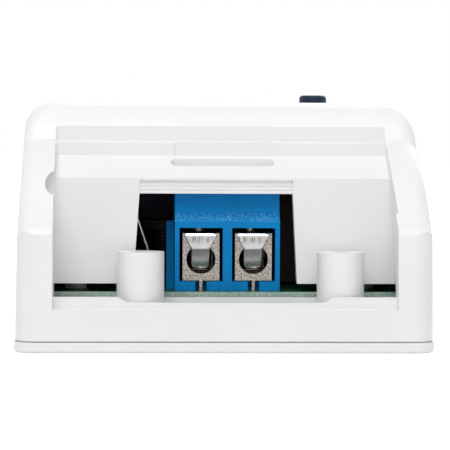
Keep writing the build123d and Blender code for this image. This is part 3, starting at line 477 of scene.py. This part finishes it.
FINISHES: dict[str, Callable[[], bpy.types.Material]] = {
    "white_case": Moulded("white_case", (0.86, 0.86, 0.855), (0.84, 0.84, 0.835), 0.36).material,
    "navy_button": Moulded("navy_button", from_srgb(32, 50, 74), from_srgb(26, 40, 62), 0.45,
                           specular=0.2).material,
    "black_plastic": Moulded("black_plastic", (0.018, 0.018, 0.019), (0.026, 0.026, 0.027), 0.45).material,
    "relay_blue": Moulded("relay_blue", from_srgb(24, 74, 158), from_srgb(18, 62, 140), 0.3).material,
    # blue_terminal's pale second colour is painted glints on its sloping faces, such as the chamfer.
    "blue_terminal": Moulded("blue_terminal", from_srgb(0, 132, 200), from_srgb(0, 124, 190), 0.5, 0.2, 0.008,
                             3.0, specular=0.14, painted_glint=from_srgb(150, 205, 232)).material,
    "board_laminate": Laminate("board_laminate", from_srgb(28, 96, 58), from_srgb(22, 84, 50),
                               from_srgb(170, 186, 176), from_srgb(140, 162, 148)).material,
    "solder_tin": Plated("solder_tin", (0.62, 0.62, 0.63), (0.45, 0.45, 0.47), 0.22, Space.EVEN).material,
    "tinned_wire": Plated("tinned_wire", (0.66, 0.65, 0.63), (0.5, 0.49, 0.48), 0.24).material,
    "zinc_steel": Plated("zinc_steel", (0.60, 0.60, 0.58), (0.46, 0.45, 0.42), 0.3).material,
    "nickel_cage": Plated("nickel_cage", (0.42, 0.39, 0.355), (0.14, 0.12, 0.105), 0.32, Space.EVEN, 0.14, 0.001,
                          0.16, clouding=(0.42, 0.62)).material,
    # nickel_leaf's near-white second colour is a painted highlight on the guards' rolled top edge.
    "nickel_leaf": Plated("nickel_leaf", (0.44, 0.435, 0.43), (0.36, 0.35, 0.34), 0.14, Space.ALONG_Z, 0.09,
                          0.0005, 1.2, highlight_colour=(0.93, 0.93, 0.92), stroke=(0.09, 0.09, 0.095)).material,
    "soft_iron": Plated("soft_iron", (0.42, 0.42, 0.42), (0.33, 0.33, 0.34), 0.4).material,
    "copper_wire": Wound("copper_wire", from_srgb(188, 96, 46), from_srgb(104, 44, 18), 0.12).material,
    "copper_track": Plated("copper_track", from_srgb(204, 138, 92), from_srgb(176, 108, 66), 0.35).material,
    "contact_brass": Plated("contact_brass", from_srgb(214, 182, 108), from_srgb(184, 148, 78), 0.3).material,
    "ferrite": Moulded("ferrite", (0.045, 0.045, 0.048), (0.07, 0.07, 0.074), 0.62, 0.18, 0.012, 2.0).material,
    "yellow_tape": Wound("yellow_tape", from_srgb(232, 196, 58), from_srgb(206, 166, 38), 0.9, 0.3, 0.0).material,
    "dark_sleeve": Moulded("dark_sleeve", from_srgb(30, 31, 36), from_srgb(24, 25, 29), 0.35, coat=0.2).material,
    "brown_box": Moulded("brown_box", from_srgb(62, 36, 15), from_srgb(46, 26, 10), 0.4, 0.3, 0.006, 2.5,
                         specular=0.25).material,
    "ceramic_tan": Moulded("ceramic_tan", from_srgb(196, 160, 110), from_srgb(176, 140, 92), 0.5, 0.2,
                           0.01, 1.5).material,
    "lamp_lens": Moulded("lamp_lens", (0.75, 0.78, 0.74), (0.66, 0.7, 0.64), 0.15, coat=0.5).material,
}


def read_bodies() -> dict[str, str]:
    """Reads which body every node belongs to, by node."""
    return {node: body for body, nodes in frame["record"]["behaviour"]["bodies"].items() for node in nodes}


def read_slots() -> dict[str, str]:
    """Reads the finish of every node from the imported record, by node."""
    return {part["node"]: part["material_slot"] for part in frame["record"]["subparts"]}


def put_in_scene(name: str, data: bpy.types.ID) -> bpy.types.Object:
    """Makes an object of a mesh, a lamp or a camera, and links it to the scene.

    Args:
        name: The object's name.
        data: What it shows.

    Returns:
        The new object.
    """
    placed = bpy.data.objects.new(name, data)
    bpy.context.scene.collection.objects.link(placed)
    return placed


class Finisher:
    """Gives every node and piece its finish, and builds each finish once."""

    def __init__(self) -> None:
        """Starts with no finish built."""
        self.built: dict[str, bpy.types.Material] = {}
        self.slots = read_slots()
        self.bodies = read_bodies()

    def get(self, name: str) -> bpy.types.Material:
        """Finds a finish, and builds it on its first use.

        Args:
            name: The finish's name.

        Returns:
            Its material.
        """
        if name not in self.built:
            self.built[name] = FINISHES[name]()
        return self.built[name]

    def dress(self, obj: bpy.types.Object, *names: str) -> None:
        """Puts finishes on an object's own slots.

        Args:
            obj: The piece or node.
            *names: One finish for each slot.
        """
        while len(obj.material_slots) < len(names):
            obj.data.materials.append(None)
        for index, held in enumerate(obj.material_slots):
            held.link = "OBJECT"
            held.material = self.get(names[min(index, len(names) - 1)])

    def stand_in(self, piece: bpy.types.Object, node: str) -> None:
        """Lets a dressed piece ride where a node does, stand for it and keep its finish.

        Args:
            piece: The new piece.
            node: The CAD node that it takes the place of.
        """
        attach(piece, self.bodies[node])
        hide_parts(node)
        self.dress(piece, self.slots[node])
        log.info("%s: %d faces", piece.name, len(piece.data.polygons))

    def dress_nodes(self) -> None:
        """Dresses every CAD node by its slot in the record."""
        for node, obj in frame["nodes"].items():
            self.dress(obj, self.slots[node])


@dataclass(frozen=True)
class Softening:
    """How a moulding's crisp CAD edges are eased.

    Attributes:
        width_mm: Width of the eased edge.
        segments: Faces across it.
        least_degrees: Edges flatter than this are left.
        weld_mm: Points closer than this become one.
        flat_degrees: Faces that meet at less than this become one.
    """

    width_mm: float
    segments: int = 2
    least_degrees: float = 28.0
    weld_mm: float = 0.0005
    flat_degrees: float = 0.3

    def copy_of(self, node: str) -> bpy.types.Object:
        """Makes a welded copy of a node with eased edges.

        Args:
            node: The CAD node.

        Returns:
            The new piece.
        """
        sharp = math.radians(self.least_degrees)
        flat = math.radians(self.flat_degrees)
        mesh = frame["nodes"][node].data.copy()
        shape = bmesh.new()
        shape.from_mesh(mesh)
        bmesh.ops.remove_doubles(shape, verts=shape.verts, dist=self.weld_mm * MM)
        bmesh.ops.dissolve_limit(shape, angle_limit=flat, verts=shape.verts, edges=shape.edges)
        bmesh.ops.recalc_face_normals(shape, faces=shape.faces)
        for face in shape.faces:
            face.smooth = True
        for edge in shape.edges:
            edge.smooth = edge.is_manifold and edge.calc_face_angle(0.0) < sharp
        shape.to_mesh(mesh)
        shape.free()
        for name in [layer.name for layer in mesh.attributes if layer.name == "custom_normal"]:
            mesh.attributes.remove(mesh.attributes[name])
        piece = put_in_scene(node + "_eased", mesh)
        bevel = piece.modifiers.new("eased_edges", "BEVEL")
        bevel.width = self.width_mm * MM
        bevel.segments = self.segments
        bevel.limit_method = "ANGLE"
        bevel.angle_limit = sharp
        bevel.harden_normals = True
        bevel.use_clamp_overlap = True
        return piece


def shut_tube(name: str, rings: np.ndarray, endless: bool = False) -> bpy.types.Object:
    """Skins a stack of closed rings, and shuts both ends with one face each or joins them to each other.

    Corner j of ring i joins corner j + 1 of the same ring and the same corners of ring i + 1.

    Args:
        name: The piece's name.
        rings: Corners in metres, ring by ring, of shape (rings, corners, 3).
        endless: Whether the last ring joins the first.

    Returns:
        The new piece, shaded smooth but for its ends.
    """
    count, corners = rings.shape[:2]
    here = np.arange(corners)
    after = (here + 1) % corners
    rows = np.arange(count if endless else count - 1)
    base = (rows * corners)[:, None]
    above = ((rows + 1) % count * corners)[:, None]
    quads = np.stack([base + here, base + after, above + after, above + here], axis=-1)
    faces = quads.reshape(-1, 4).tolist()
    if not endless:
        faces += [here[::-1].tolist(), (here + (count - 1) * corners).tolist()]
    mesh = bpy.data.meshes.new(name)
    mesh.from_pydata(rings.reshape(-1, 3).tolist(), [], faces)
    smooth = np.ones(len(faces), dtype=bool)
    smooth[-2:] = endless
    mesh.polygons.foreach_set("use_smooth", smooth)
    shape = bmesh.new()
    shape.from_mesh(mesh)
    bmesh.ops.recalc_face_normals(shape, faces=shape.faces)
    shape.to_mesh(mesh)
    shape.free()
    return put_in_scene(name, mesh)


def mark(piece: bpy.types.Object, name: str, values: np.ndarray) -> None:
    """Stores one number per corner point under a name that a finish can read.

    Args:
        piece: The piece.
        name: The attribute's name.
        values: Its numbers, in the order of the mesh's points.
    """
    layer = piece.data.attributes.new(name, "FLOAT", "POINT")
    layer.data.foreach_set("value", np.ascontiguousarray(values, dtype=np.float32))


@dataclass
class Housing:
    """The white shell, its base and the far end's cover.

    Attributes:
        softening: How their edges are eased.
    """

    softening: Softening = field(default_factory=lambda: Softening(0.14, 3))

    def build(self, finisher: Finisher) -> None:
        """Eases the edges of the three white mouldings."""
        for node in ("upper_housing", "base_cover", "end_cover"):
            finisher.stand_in(self.softening.copy_of(node), node)


@dataclass
class EasedParts:
    """The smaller parts whose own CAD shape only wants its edges eased.

    Attributes:
        least_degrees: Edges flatter than this are left.
        widths_mm: The nodes by the width of their eased edges.
    """

    least_degrees: float = 30.0
    widths_mm: dict[float, tuple[str, ...]] = field(default_factory=lambda: {
        0.22: ("button", "varistor", "relay_case"),
        0.12: ("near_terminal_housing", "far_terminal_housing", "film_capacitor", "transformer_core"),
        0.06: ("near_clamp_cages", "far_clamp_cages", "cover_screws", "circuit_board", "switch_body",
               "bridge_rectifier", "voltage_regulator", "output_diode", "transformer_bobbin", "relay_base",
               "near_left_clamp_screw", "near_right_clamp_screw", "far_left_clamp_screw",
               "far_right_clamp_screw", "power_controller_chip", "memory_chip", "radio_chip", "crystal"),
    })

    def build(self, finisher: Finisher) -> None:
        """Eases each part's edges.

        Args:
            finisher: What dresses the pieces.
        """
        for width, nodes in self.widths_mm.items():
            softening = Softening(width, least_degrees=self.least_degrees)
            for node in nodes:
                finisher.stand_in(softening.copy_of(node), node)


@dataclass
class WireGuard:
    """Sheet guard of one pole: rolled top edge, tapering tab, bend through the cage's mouth, long pad.

    Attributes:
        tab_half_mm: Half the width of the tab.
        neck_half_mm: Half the width from the bend on.
        sheet_mm: Thickness of the sheet.
        roll_mm: Thickness of the rolled edge.
        roll_height_mm: How far down the rolled edge goes.
        bend_drop_mm: From the top down to the bend.
        slope_run_mm: How far back the sloped part reaches.
        set_mm: How far the sheet sits to its own left of the cage's middle.
        spare_mm: How far the pad stops short of the CAD guard's end.
        corner_mm: Way over which the tab widens to its full width.
        corner_cut_mm: How much narrower each half of the tab starts.
        tip_mm: Way over which the pad narrows at its end.
        tip_share: Its width at the very end, as a share of the neck's.
        roll_in_mm: Way over which the rolled edge reaches its thickness.
        roll_out_mm: Way past the rolled edge over which it thins to the sheet.
        rim_share: Thickness at the very top, as a share of the sheet's.
        side_power: How square the section's sides are, less being squarer.
        face_power: How flat the section's faces are, less being flatter.
        highlight_mm: Height over which the worn edge fades out.
        stamped_mm: Depths at which the stamped strokes start, are full, weaken and end.
        stamped_strength: Their strength at these depths.
        steps: Rings along the guard.
        bend_steps: Rings over which its bends are rounded, an odd number.
        around: Corners of one ring.
    """

    tab_half_mm: float = 1.525
    neck_half_mm: float = 0.87
    sheet_mm: float = 0.2
    roll_mm: float = 0.3
    roll_height_mm: float = 0.28
    bend_drop_mm: float = 1.4
    slope_run_mm: float = 0.95
    set_mm: float = 0.05
    spare_mm: float = 0.05
    corner_mm: float = 0.15
    corner_cut_mm: float = 0.12
    tip_mm: float = 0.5
    tip_share: float = 0.7
    roll_in_mm: float = 0.1
    roll_out_mm: float = 0.06
    rim_share: float = 0.8
    side_power: float = 0.2
    face_power: float = 0.8
    # highlight_mm: Height over which the painted highlight on the rolled edge fades out.
    highlight_mm: float = 0.12
    stamped_mm: tuple[float, ...] = (0.24, 0.34, 0.7, 1.1)
    stamped_strength: tuple[float, ...] = (0.0, 1.0, 0.8, 0.0)
    steps: int = 140
    bend_steps: int = 5
    around: int = 36

    def path(self, box: Box) -> np.ndarray:
        """Samples the middle line as (depth, height), its corners rounded by a running mean.

        Args:
            box: Lowest and highest corner of the CAD guard, in metres.

        Returns:
            Points in metres, of shape (points, 2).
        """
        half = self.sheet_mm / 2 * MM
        low, top = box[0][2], box[1][2]
        reach = box[1][1] - box[0][1]
        depth = np.array([half, half, half + self.slope_run_mm * MM, reach - self.spare_mm * MM])
        height = np.array([top, top - self.bend_drop_mm * MM, low + half, low + half])
        lengths = np.concatenate([[0.0], np.cumsum(np.hypot(np.diff(depth), np.diff(height)))])
        travelled = np.linspace(0.0, lengths[-1], self.steps)
        line = np.stack([np.interp(travelled, lengths, depth), np.interp(travelled, lengths, height)], axis=-1)
        margin = self.bend_steps // 2
        weights = np.ones(self.bend_steps) / self.bend_steps
        padded = np.pad(line, ((margin, margin), (0, 0)), mode="edge")
        mean = np.stack([np.convolve(padded[:, axis], weights, "valid") for axis in (0, 1)], -1)
        mean[[0, -1]] = line[[0, -1]]
        return mean

    def surface(self, box: Box, facing: float) -> np.ndarray:
        """Carries a flat oval along the middle line; its width and thickness change with the way travelled.

        Corner t of the oval lies half a width times cos(t) ** side_power to the side and half a thickness times
        sin(t) ** face_power off the sheet's middle, signs kept.

        Args:
            box: Lowest and highest corner of the CAD guard, in metres.
            facing: 1 where the guard faces -Y, -1 where it faces +Y.

        Returns:
            Rings of corners in metres, of shape (rings, corners, 3).
        """
        line = self.path(box)
        tangent = np.gradient(line, axis=0)
        tangent /= np.linalg.norm(tangent, axis=1, keepdims=True)
        normal = np.stack([tangent[:, 1], -tangent[:, 0]], axis=-1)
        way = np.concatenate([[0.0], np.cumsum(np.linalg.norm(np.diff(line, axis=0), axis=1))]) / MM
        end = way[-1]
        tab, neck, roll_end = self.tab_half_mm, self.neck_half_mm, self.roll_height_mm
        half = np.interp(way, [0, self.corner_mm, roll_end, self.bend_drop_mm, end - self.tip_mm, end],
                         [tab - self.corner_cut_mm, tab, tab, neck, neck, neck * self.tip_share])
        thick = np.interp(way, [0, self.roll_in_mm, roll_end - self.roll_in_mm, roll_end + self.roll_out_mm],
                          [self.sheet_mm * self.rim_share, self.roll_mm, self.roll_mm, self.sheet_mm])
        angle = np.linspace(0.0, 2 * math.pi, self.around, endpoint=False)
        side = np.sign(np.cos(angle)) * np.abs(np.cos(angle)) ** self.side_power
        off = np.sign(np.sin(angle)) * np.abs(np.sin(angle)) ** self.face_power
        across = (half * MM)[:, None] * side[None, :]
        out = (thick * MM / 2)[:, None] * off[None, :]
        depth = line[:, :1] + normal[:, :1] * out
        height = line[:, 1:] + normal[:, 1:] * out
        front = box[0][1] if facing > 0 else box[1][1]
        middle = (box[0][0] + box[1][0]) / 2 - facing * self.set_mm * MM
        return np.stack([middle + across, front + facing * depth, height], axis=-1)

    def add_marks(self, piece: bpy.types.Object, rings: np.ndarray) -> None:
        """Marks the band of painted highlight on a guard's rolled edge, and where its stamping left strokes.

        Args:
            piece: The guard's piece.
            rings: Its corners in metres.
        """
        heights = rings[..., 2].reshape(-1)
        down = (heights.max() - heights) / MM
        outside = np.repeat(np.arange(len(rings)) < len(rings) / 2, rings.shape[1])
        # Painted highlight: full on the rolled top edge, fading out below it.
        painted_highlight = np.interp(down, [self.roll_height_mm - self.highlight_mm, self.roll_height_mm], [1, 0])
        mark(piece, "painted_highlight", painted_highlight)
        mark(piece, "stamped", outside * np.interp(down, self.stamped_mm, self.stamped_strength))

    def build(self, finisher: Finisher) -> None:
        """Builds the four guards on their own bodies.

        Args:
            finisher: What dresses the pieces.
        """
        for end, facing in (("near", 1.0), ("far", -1.0)):
            for side in ("left", "right"):
                node = f"{end}_{side}_clamp_leaf"
                rings = self.surface(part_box(node), facing)
                piece = shut_tube(node + "_sheet", rings)
                self.add_marks(piece, rings)
                finisher.stand_in(piece, node)


@dataclass
class Winding:
    """Round coil laid turn beside turn: a hollow drum whose outside swells once for every turn.

    Attributes:
        wire_mm: Height of one turn.
        swell_mm: How far a turn stands out of the furrow beside it.
        nodes: The coils.
        turn_steps: Points up one turn.
        around: Corners round the axis.
    """

    wire_mm: float = 0.3
    swell_mm: float = 0.09
    nodes: tuple[str, ...] = ("relay_winding", "choke_winding")
    turn_steps: int = 8
    around: int = 72

    def bore(self, node: str, centre: np.ndarray) -> float:
        """Measures the hole that the CAD coil leaves round its axis.

        Args:
            node: The CAD coil.
            centre: Middle of its box in metres.

        Returns:
            The hole's radius in metres.
        """
        mesh = frame["nodes"][node].data
        points = np.empty(len(mesh.vertices) * 3)
        mesh.vertices.foreach_get("co", points)
        from_axis = points.reshape(-1, 3)[:, :2] - centre[:2]
        return float(np.hypot(from_axis[:, 0], from_axis[:, 1]).min())

    def surface(self, node: str) -> np.ndarray:
        """Turns a closed profile about an upright axis.

        Going up the outside the radius is the drum's less swell times 1 - |sin(pi * height / turn)|; the way back
        down runs along the bore.

        Args:
            node: The CAD coil whose box and bore it takes.

        Returns:
            Rings of corners in metres, one ring for each step round the axis.
        """
        low, high = (np.array(corner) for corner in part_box(node))
        centre = (low + high) / 2
        radius = (high[0] - low[0]) / 2
        turns = max(1, round((high[2] - low[2]) / (self.wire_mm * MM)))
        rise = np.linspace(0.0, 1.0, turns * self.turn_steps + 1)
        furrow = (1.0 - np.abs(np.sin(math.pi * turns * rise))) * self.swell_mm * MM
        bore = self.bore(node, centre)
        reach = np.concatenate([[bore], radius - furrow, [bore]])
        height = np.concatenate([[low[2]], low[2] + rise * (high[2] - low[2]), [high[2]]])
        angle = np.linspace(0.0, 2 * math.pi, self.around, endpoint=False)[:, None]
        return np.stack([
            centre[0] + reach * np.cos(angle), centre[1] + reach * np.sin(angle),
            np.broadcast_to(height, (self.around, len(height))),
        ], axis=-1)

    def build(self, finisher: Finisher) -> None:
        """Builds the relay's and the choke's coil."""
        for node in self.nodes:
            finisher.stand_in(shut_tube(node + "_turns", self.surface(node), endless=True), node)


@dataclass
class SleevedCan:
    """Round capacitor: shrink sleeve over a crimped can, bare metal disc in its rounded top.

    Attributes:
        foot_round_mm: Rounding at the foot.
        crimp_height_mm: Height of the crimp's middle above the foot.
        crimp_depth_mm: How far the crimp goes in.
        crimp_width_mm: How tall the crimp is.
        shoulder_mm: Rounding of the top edge.
        sleeve_mm: How far the disc lies below the sleeve's rim.
        disc_share: Radius of the bare disc as a share of the can's.
        step_reach: Radii of the step down to the disc, as shares of the disc's.
        step_drop: How far down the step each of them lies, as shares of sleeve_mm.
        arc_points: Points on each rounded edge.
        side_points: Points up the side, both ends counted.
        around: Corners round the axis.
        bare_finish: The disc's finish.
    """

    foot_round_mm: float = 0.3
    crimp_height_mm: float = 1.5
    crimp_depth_mm: float = 0.28
    crimp_width_mm: float = 0.9
    shoulder_mm: float = 0.45
    sleeve_mm: float = 0.1
    disc_share: float = 0.72
    step_reach: tuple[float, ...] = (1.04, 1.0, 0.98, 0.9, 0.3)
    step_drop: tuple[float, ...] = (0.0, 0.3, 1.0, 1.0, 1.0)
    arc_points: int = 7
    side_points: int = 40
    around: int = 64
    bare_finish: str = "zinc_steel"

    def surface(self, centre: tuple[float, float], radius: float, foot: float, top: float) -> np.ndarray:
        """Turns a profile about an upright axis.

        The side's radius is the can's less the crimp's depth times exp(-(height from crimp / half its width) ** 2);
        quarter circles round foot and shoulder; the disc lies a step lower.

        Args:
            centre: X and Y of the axis in metres.
            radius: The can's radius in metres.
            foot: Height of its foot in metres.
            top: Height of its top in metres.

        Returns:
            Rings of corners in metres.
        """
        quarter = np.linspace(0.0, math.pi / 2, self.arc_points)
        low, high = self.foot_round_mm * MM, self.shoulder_mm * MM
        side = np.linspace(foot + low, top - high, self.side_points)[1:-1]
        bell = np.exp(-(((side - foot) / MM - self.crimp_height_mm) / (self.crimp_width_mm / 2)) ** 2)
        reach = np.concatenate([
            radius - low + low * np.sin(quarter), radius - bell * self.crimp_depth_mm * MM,
            radius - high + high * np.cos(quarter), self.disc_share * radius * np.array(self.step_reach),
        ])
        height = np.concatenate([
            foot + low - low * np.cos(quarter), side, top - high + high * np.sin(quarter),
            top - self.sleeve_mm * MM * np.array(self.step_drop),
        ])
        angle = np.linspace(0.0, 2 * math.pi, self.around, endpoint=False)
        return np.stack([
            centre[0] + reach[:, None] * np.cos(angle), centre[1] + reach[:, None] * np.sin(angle),
            np.broadcast_to(height[:, None], (len(height), self.around)),
        ], axis=-1)

    def can(self, name: str, centre: tuple[float, float], radius: float, foot: float,
            top: float) -> bpy.types.Object:
        """Builds one can, its bare disc in a second slot.

        Args:
            name: The piece's name.
            centre: X and Y of the axis in metres.
            radius: The can's radius in metres.
            foot: Height of its foot in metres.
            top: Height of its top in metres.

        Returns:
            The new piece.
        """
        rings = self.surface(centre, radius, foot, top)
        piece = shut_tube(name, rings)
        bare = np.zeros(len(piece.data.polygons), dtype=np.int32)
        first_ring = len(rings) - len(self.step_reach) + 1
        bare[first_ring * self.around:(len(rings) - 1) * self.around] = 1
        bare[-1] = 1
        piece.data.polygons.foreach_set("material_index", bare)
        return piece

    def build(self, finisher: Finisher) -> None:
        """Builds the output capacitor and the two mains capacitors.

        Args:
            finisher: What dresses the pieces.
        """
        for node in ("output_capacitor", "mains_capacitors"):
            low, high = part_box(node)
            radius = (high[0] - low[0]) / 2
            middle = (high[0] + low[0]) / 2
            count = round((high[1] - low[1]) / (2 * radius))
            for index, place in enumerate(np.linspace(low[1] + radius, high[1] - radius, count)):
                piece = self.can(f"{node}_can_{index + 1}", (middle, place), radius, low[2], high[2])
                finisher.stand_in(piece, node)
                finisher.dress(piece, finisher.slots[node], self.bare_finish)


@dataclass(frozen=True)
class Lamp:
    """A soft square lamp aimed at the module.

    Attributes:
        name: The lamp's name.
        place: Its place in metres.
        side: Its side in metres.
        power: Its power in watts.
        aim: The point that it looks at, in metres.
    """

    name: str
    place: Point
    side: float
    power: float
    aim: Point = (0.0, 0.0, 0.01)

    def hang(self) -> None:
        """Hangs the lamp."""
        data = bpy.data.lights.new(self.name, "AREA")
        data.shape = "SQUARE"
        data.size = self.side
        data.energy = self.power
        lamp = put_in_scene(self.name, data)
        lamp.location = Vector(self.place)
        lamp.rotation_euler = (Vector(self.aim) - lamp.location).to_track_quat("-Z", "Y").to_euler()


@dataclass
class Studio:
    """Camera, lamps, world and floor.

    Attributes:
        eye: Where the camera stands, in metres.
        yaw_degrees: Turn to the right of straight ahead along +Y.
        pitch_degrees: Tilt below level.
        roll_degrees: Lean that lets level lines drop to the right.
        lens_mm: Focal length.
        sensor_mm: Width of the sensor.
        clip_near: Nearest distance shown, in metres.
        clip_far: Furthest distance shown, in metres.
        sky: Colour of the light from all round.
        ambient: Strength of that light.
        lamps: The lamps.
        floor_half: Half the floor's side, in metres.
        floor_drop_mm: How far the floor lies under the base.
        floor_grey: How pale the floor is.
        floor_lift: Glow that brings the lit floor to white for the camera.
    """

    eye: Point = (-0.009915, -0.244, 0.0191)
    yaw_degrees: float = 2.80
    pitch_degrees: float = 2.17
    roll_degrees: float = 0.30
    lens_mm: float = 179.7
    sensor_mm: float = 36.0
    clip_near: float = 0.01
    clip_far: float = 10.0
    sky: Colour = (0.98, 0.99, 1.0)
    ambient: float = 0.46
    lamps: tuple[Lamp, ...] = (
        Lamp("top_lamp", (-0.1, -0.15, 0.9), 0.7, 1.4),
        Lamp("key_lamp", (-0.12, -0.62, 0.74), 0.6, 4.2),
        Lamp("rear_lamp", (0.25, 0.75, 0.45), 0.6, 2.0),
    )
    floor_half: float = 1.5
    floor_drop_mm: float = 0.02
    floor_grey: float = 0.9
    floor_lift: float = 0.62

    def camera(self) -> None:
        """Stands the camera where the photograph was taken."""
        data = bpy.data.cameras.new("camera")
        data.sensor_width = self.sensor_mm
        data.lens = self.lens_mm
        data.clip_start = self.clip_near
        data.clip_end = self.clip_far
        camera = put_in_scene("camera", data)
        turn = Euler((math.radians(90.0 - self.pitch_degrees), 0.0, math.radians(-self.yaw_degrees)), "XYZ")
        roll = Euler((0.0, 0.0, math.radians(self.roll_degrees)), "XYZ")
        camera.matrix_world = turn.to_matrix().to_4x4() @ roll.to_matrix().to_4x4()
        camera.location = Vector(self.eye)
        bpy.context.scene.camera = camera

    def seen_ray(self, tree: bpy.types.NodeTree) -> bpy.types.NodeSocket:
        """One for rays that the camera, a gloss or a clear part sends out, and nought for the rest.

        Args:
            tree: The node tree to work in.

        Returns:
            The socket that holds it.
        """
        path = tree.nodes.new("ShaderNodeLightPath")
        total = path.outputs["Is Camera Ray"]
        for name in ("Is Glossy Ray", "Is Transmission Ray"):
            add = tree.nodes.new("ShaderNodeMath")
            add.operation = "MAXIMUM"
            tree.links.new(total, add.inputs[0])
            tree.links.new(path.outputs[name], add.inputs[1])
            total = add.outputs["Value"]
        return total

    def world(self) -> None:
        """Lights everything softly, and shows plain white to the camera."""
        world = bpy.data.worlds.new("studio")
        bpy.context.scene.world = world
        world.use_nodes = True
        tree = world.node_tree
        tree.nodes.clear()
        output = tree.nodes.new("ShaderNodeOutputWorld")
        soft, white = tree.nodes.new("ShaderNodeBackground"), tree.nodes.new("ShaderNodeBackground")
        soft.inputs["Color"].default_value = (*self.sky, 1.0)
        soft.inputs["Strength"].default_value = self.ambient
        white.inputs["Color"].default_value = (1.0, 1.0, 1.0, 1.0)
        white.inputs["Strength"].default_value = 1.0
        mix = tree.nodes.new("ShaderNodeMixShader")
        tree.links.new(self.seen_ray(tree), mix.inputs["Fac"])
        tree.links.new(soft.outputs["Background"], mix.inputs[1])
        tree.links.new(white.outputs["Background"], mix.inputs[2])
        tree.links.new(mix.outputs["Shader"], output.inputs["Surface"])

    def floor(self) -> None:
        """Lays a pale floor that shows white and keeps the module's shadow."""
        half, level = self.floor_half, -self.floor_drop_mm * MM
        corners = [(-half, -half, level), (half, -half, level), (half, half, level), (-half, half, level)]
        mesh = bpy.data.meshes.new("floor")
        mesh.from_pydata(corners, [], [(0, 1, 2, 3)])
        floor = put_in_scene("floor", mesh)
        material = bpy.data.materials.new("pale_floor")
        material.use_nodes = True
        tree = material.node_tree
        tree.nodes.clear()
        output = tree.nodes.new("ShaderNodeOutputMaterial")
        matte, glow = tree.nodes.new("ShaderNodeBsdfDiffuse"), tree.nodes.new("ShaderNodeEmission")
        matte.inputs["Color"].default_value = (self.floor_grey, self.floor_grey, self.floor_grey, 1.0)
        lift = tree.nodes.new("ShaderNodeMath")
        lift.operation = "MULTIPLY"
        lift.inputs[1].default_value = self.floor_lift
        tree.links.new(self.seen_ray(tree), lift.inputs[0])
        tree.links.new(lift.outputs["Value"], glow.inputs["Strength"])
        both = tree.nodes.new("ShaderNodeAddShader")
        tree.links.new(matte.outputs["BSDF"], both.inputs[0])
        tree.links.new(glow.outputs["Emission"], both.inputs[1])
        tree.links.new(both.outputs["Shader"], output.inputs["Surface"])
        mesh.materials.append(material)

    def build(self) -> None:
        """Sets up the whole studio."""
        self.camera()
        self.world()
        for lamp in self.lamps:
            lamp.hang()
        self.floor()


def main() -> None:
    """Builds the pieces in order and logs each."""
    logging.basicConfig(level=logging.INFO, format="%(name)s: %(message)s")
    bpy.context.scene.view_settings.view_transform = "Standard"
    finisher = Finisher()
    finisher.dress_nodes()
    log.info("dressed %d nodes", len(frame["nodes"]))
    Housing().build(finisher)
    EasedParts().build(finisher)
    WireGuard().build(finisher)
    Winding().build(finisher)
    SleevedCan().build(finisher)
    Studio().build()
    log.info("studio ready")


if __name__ == "__main__":
    main()
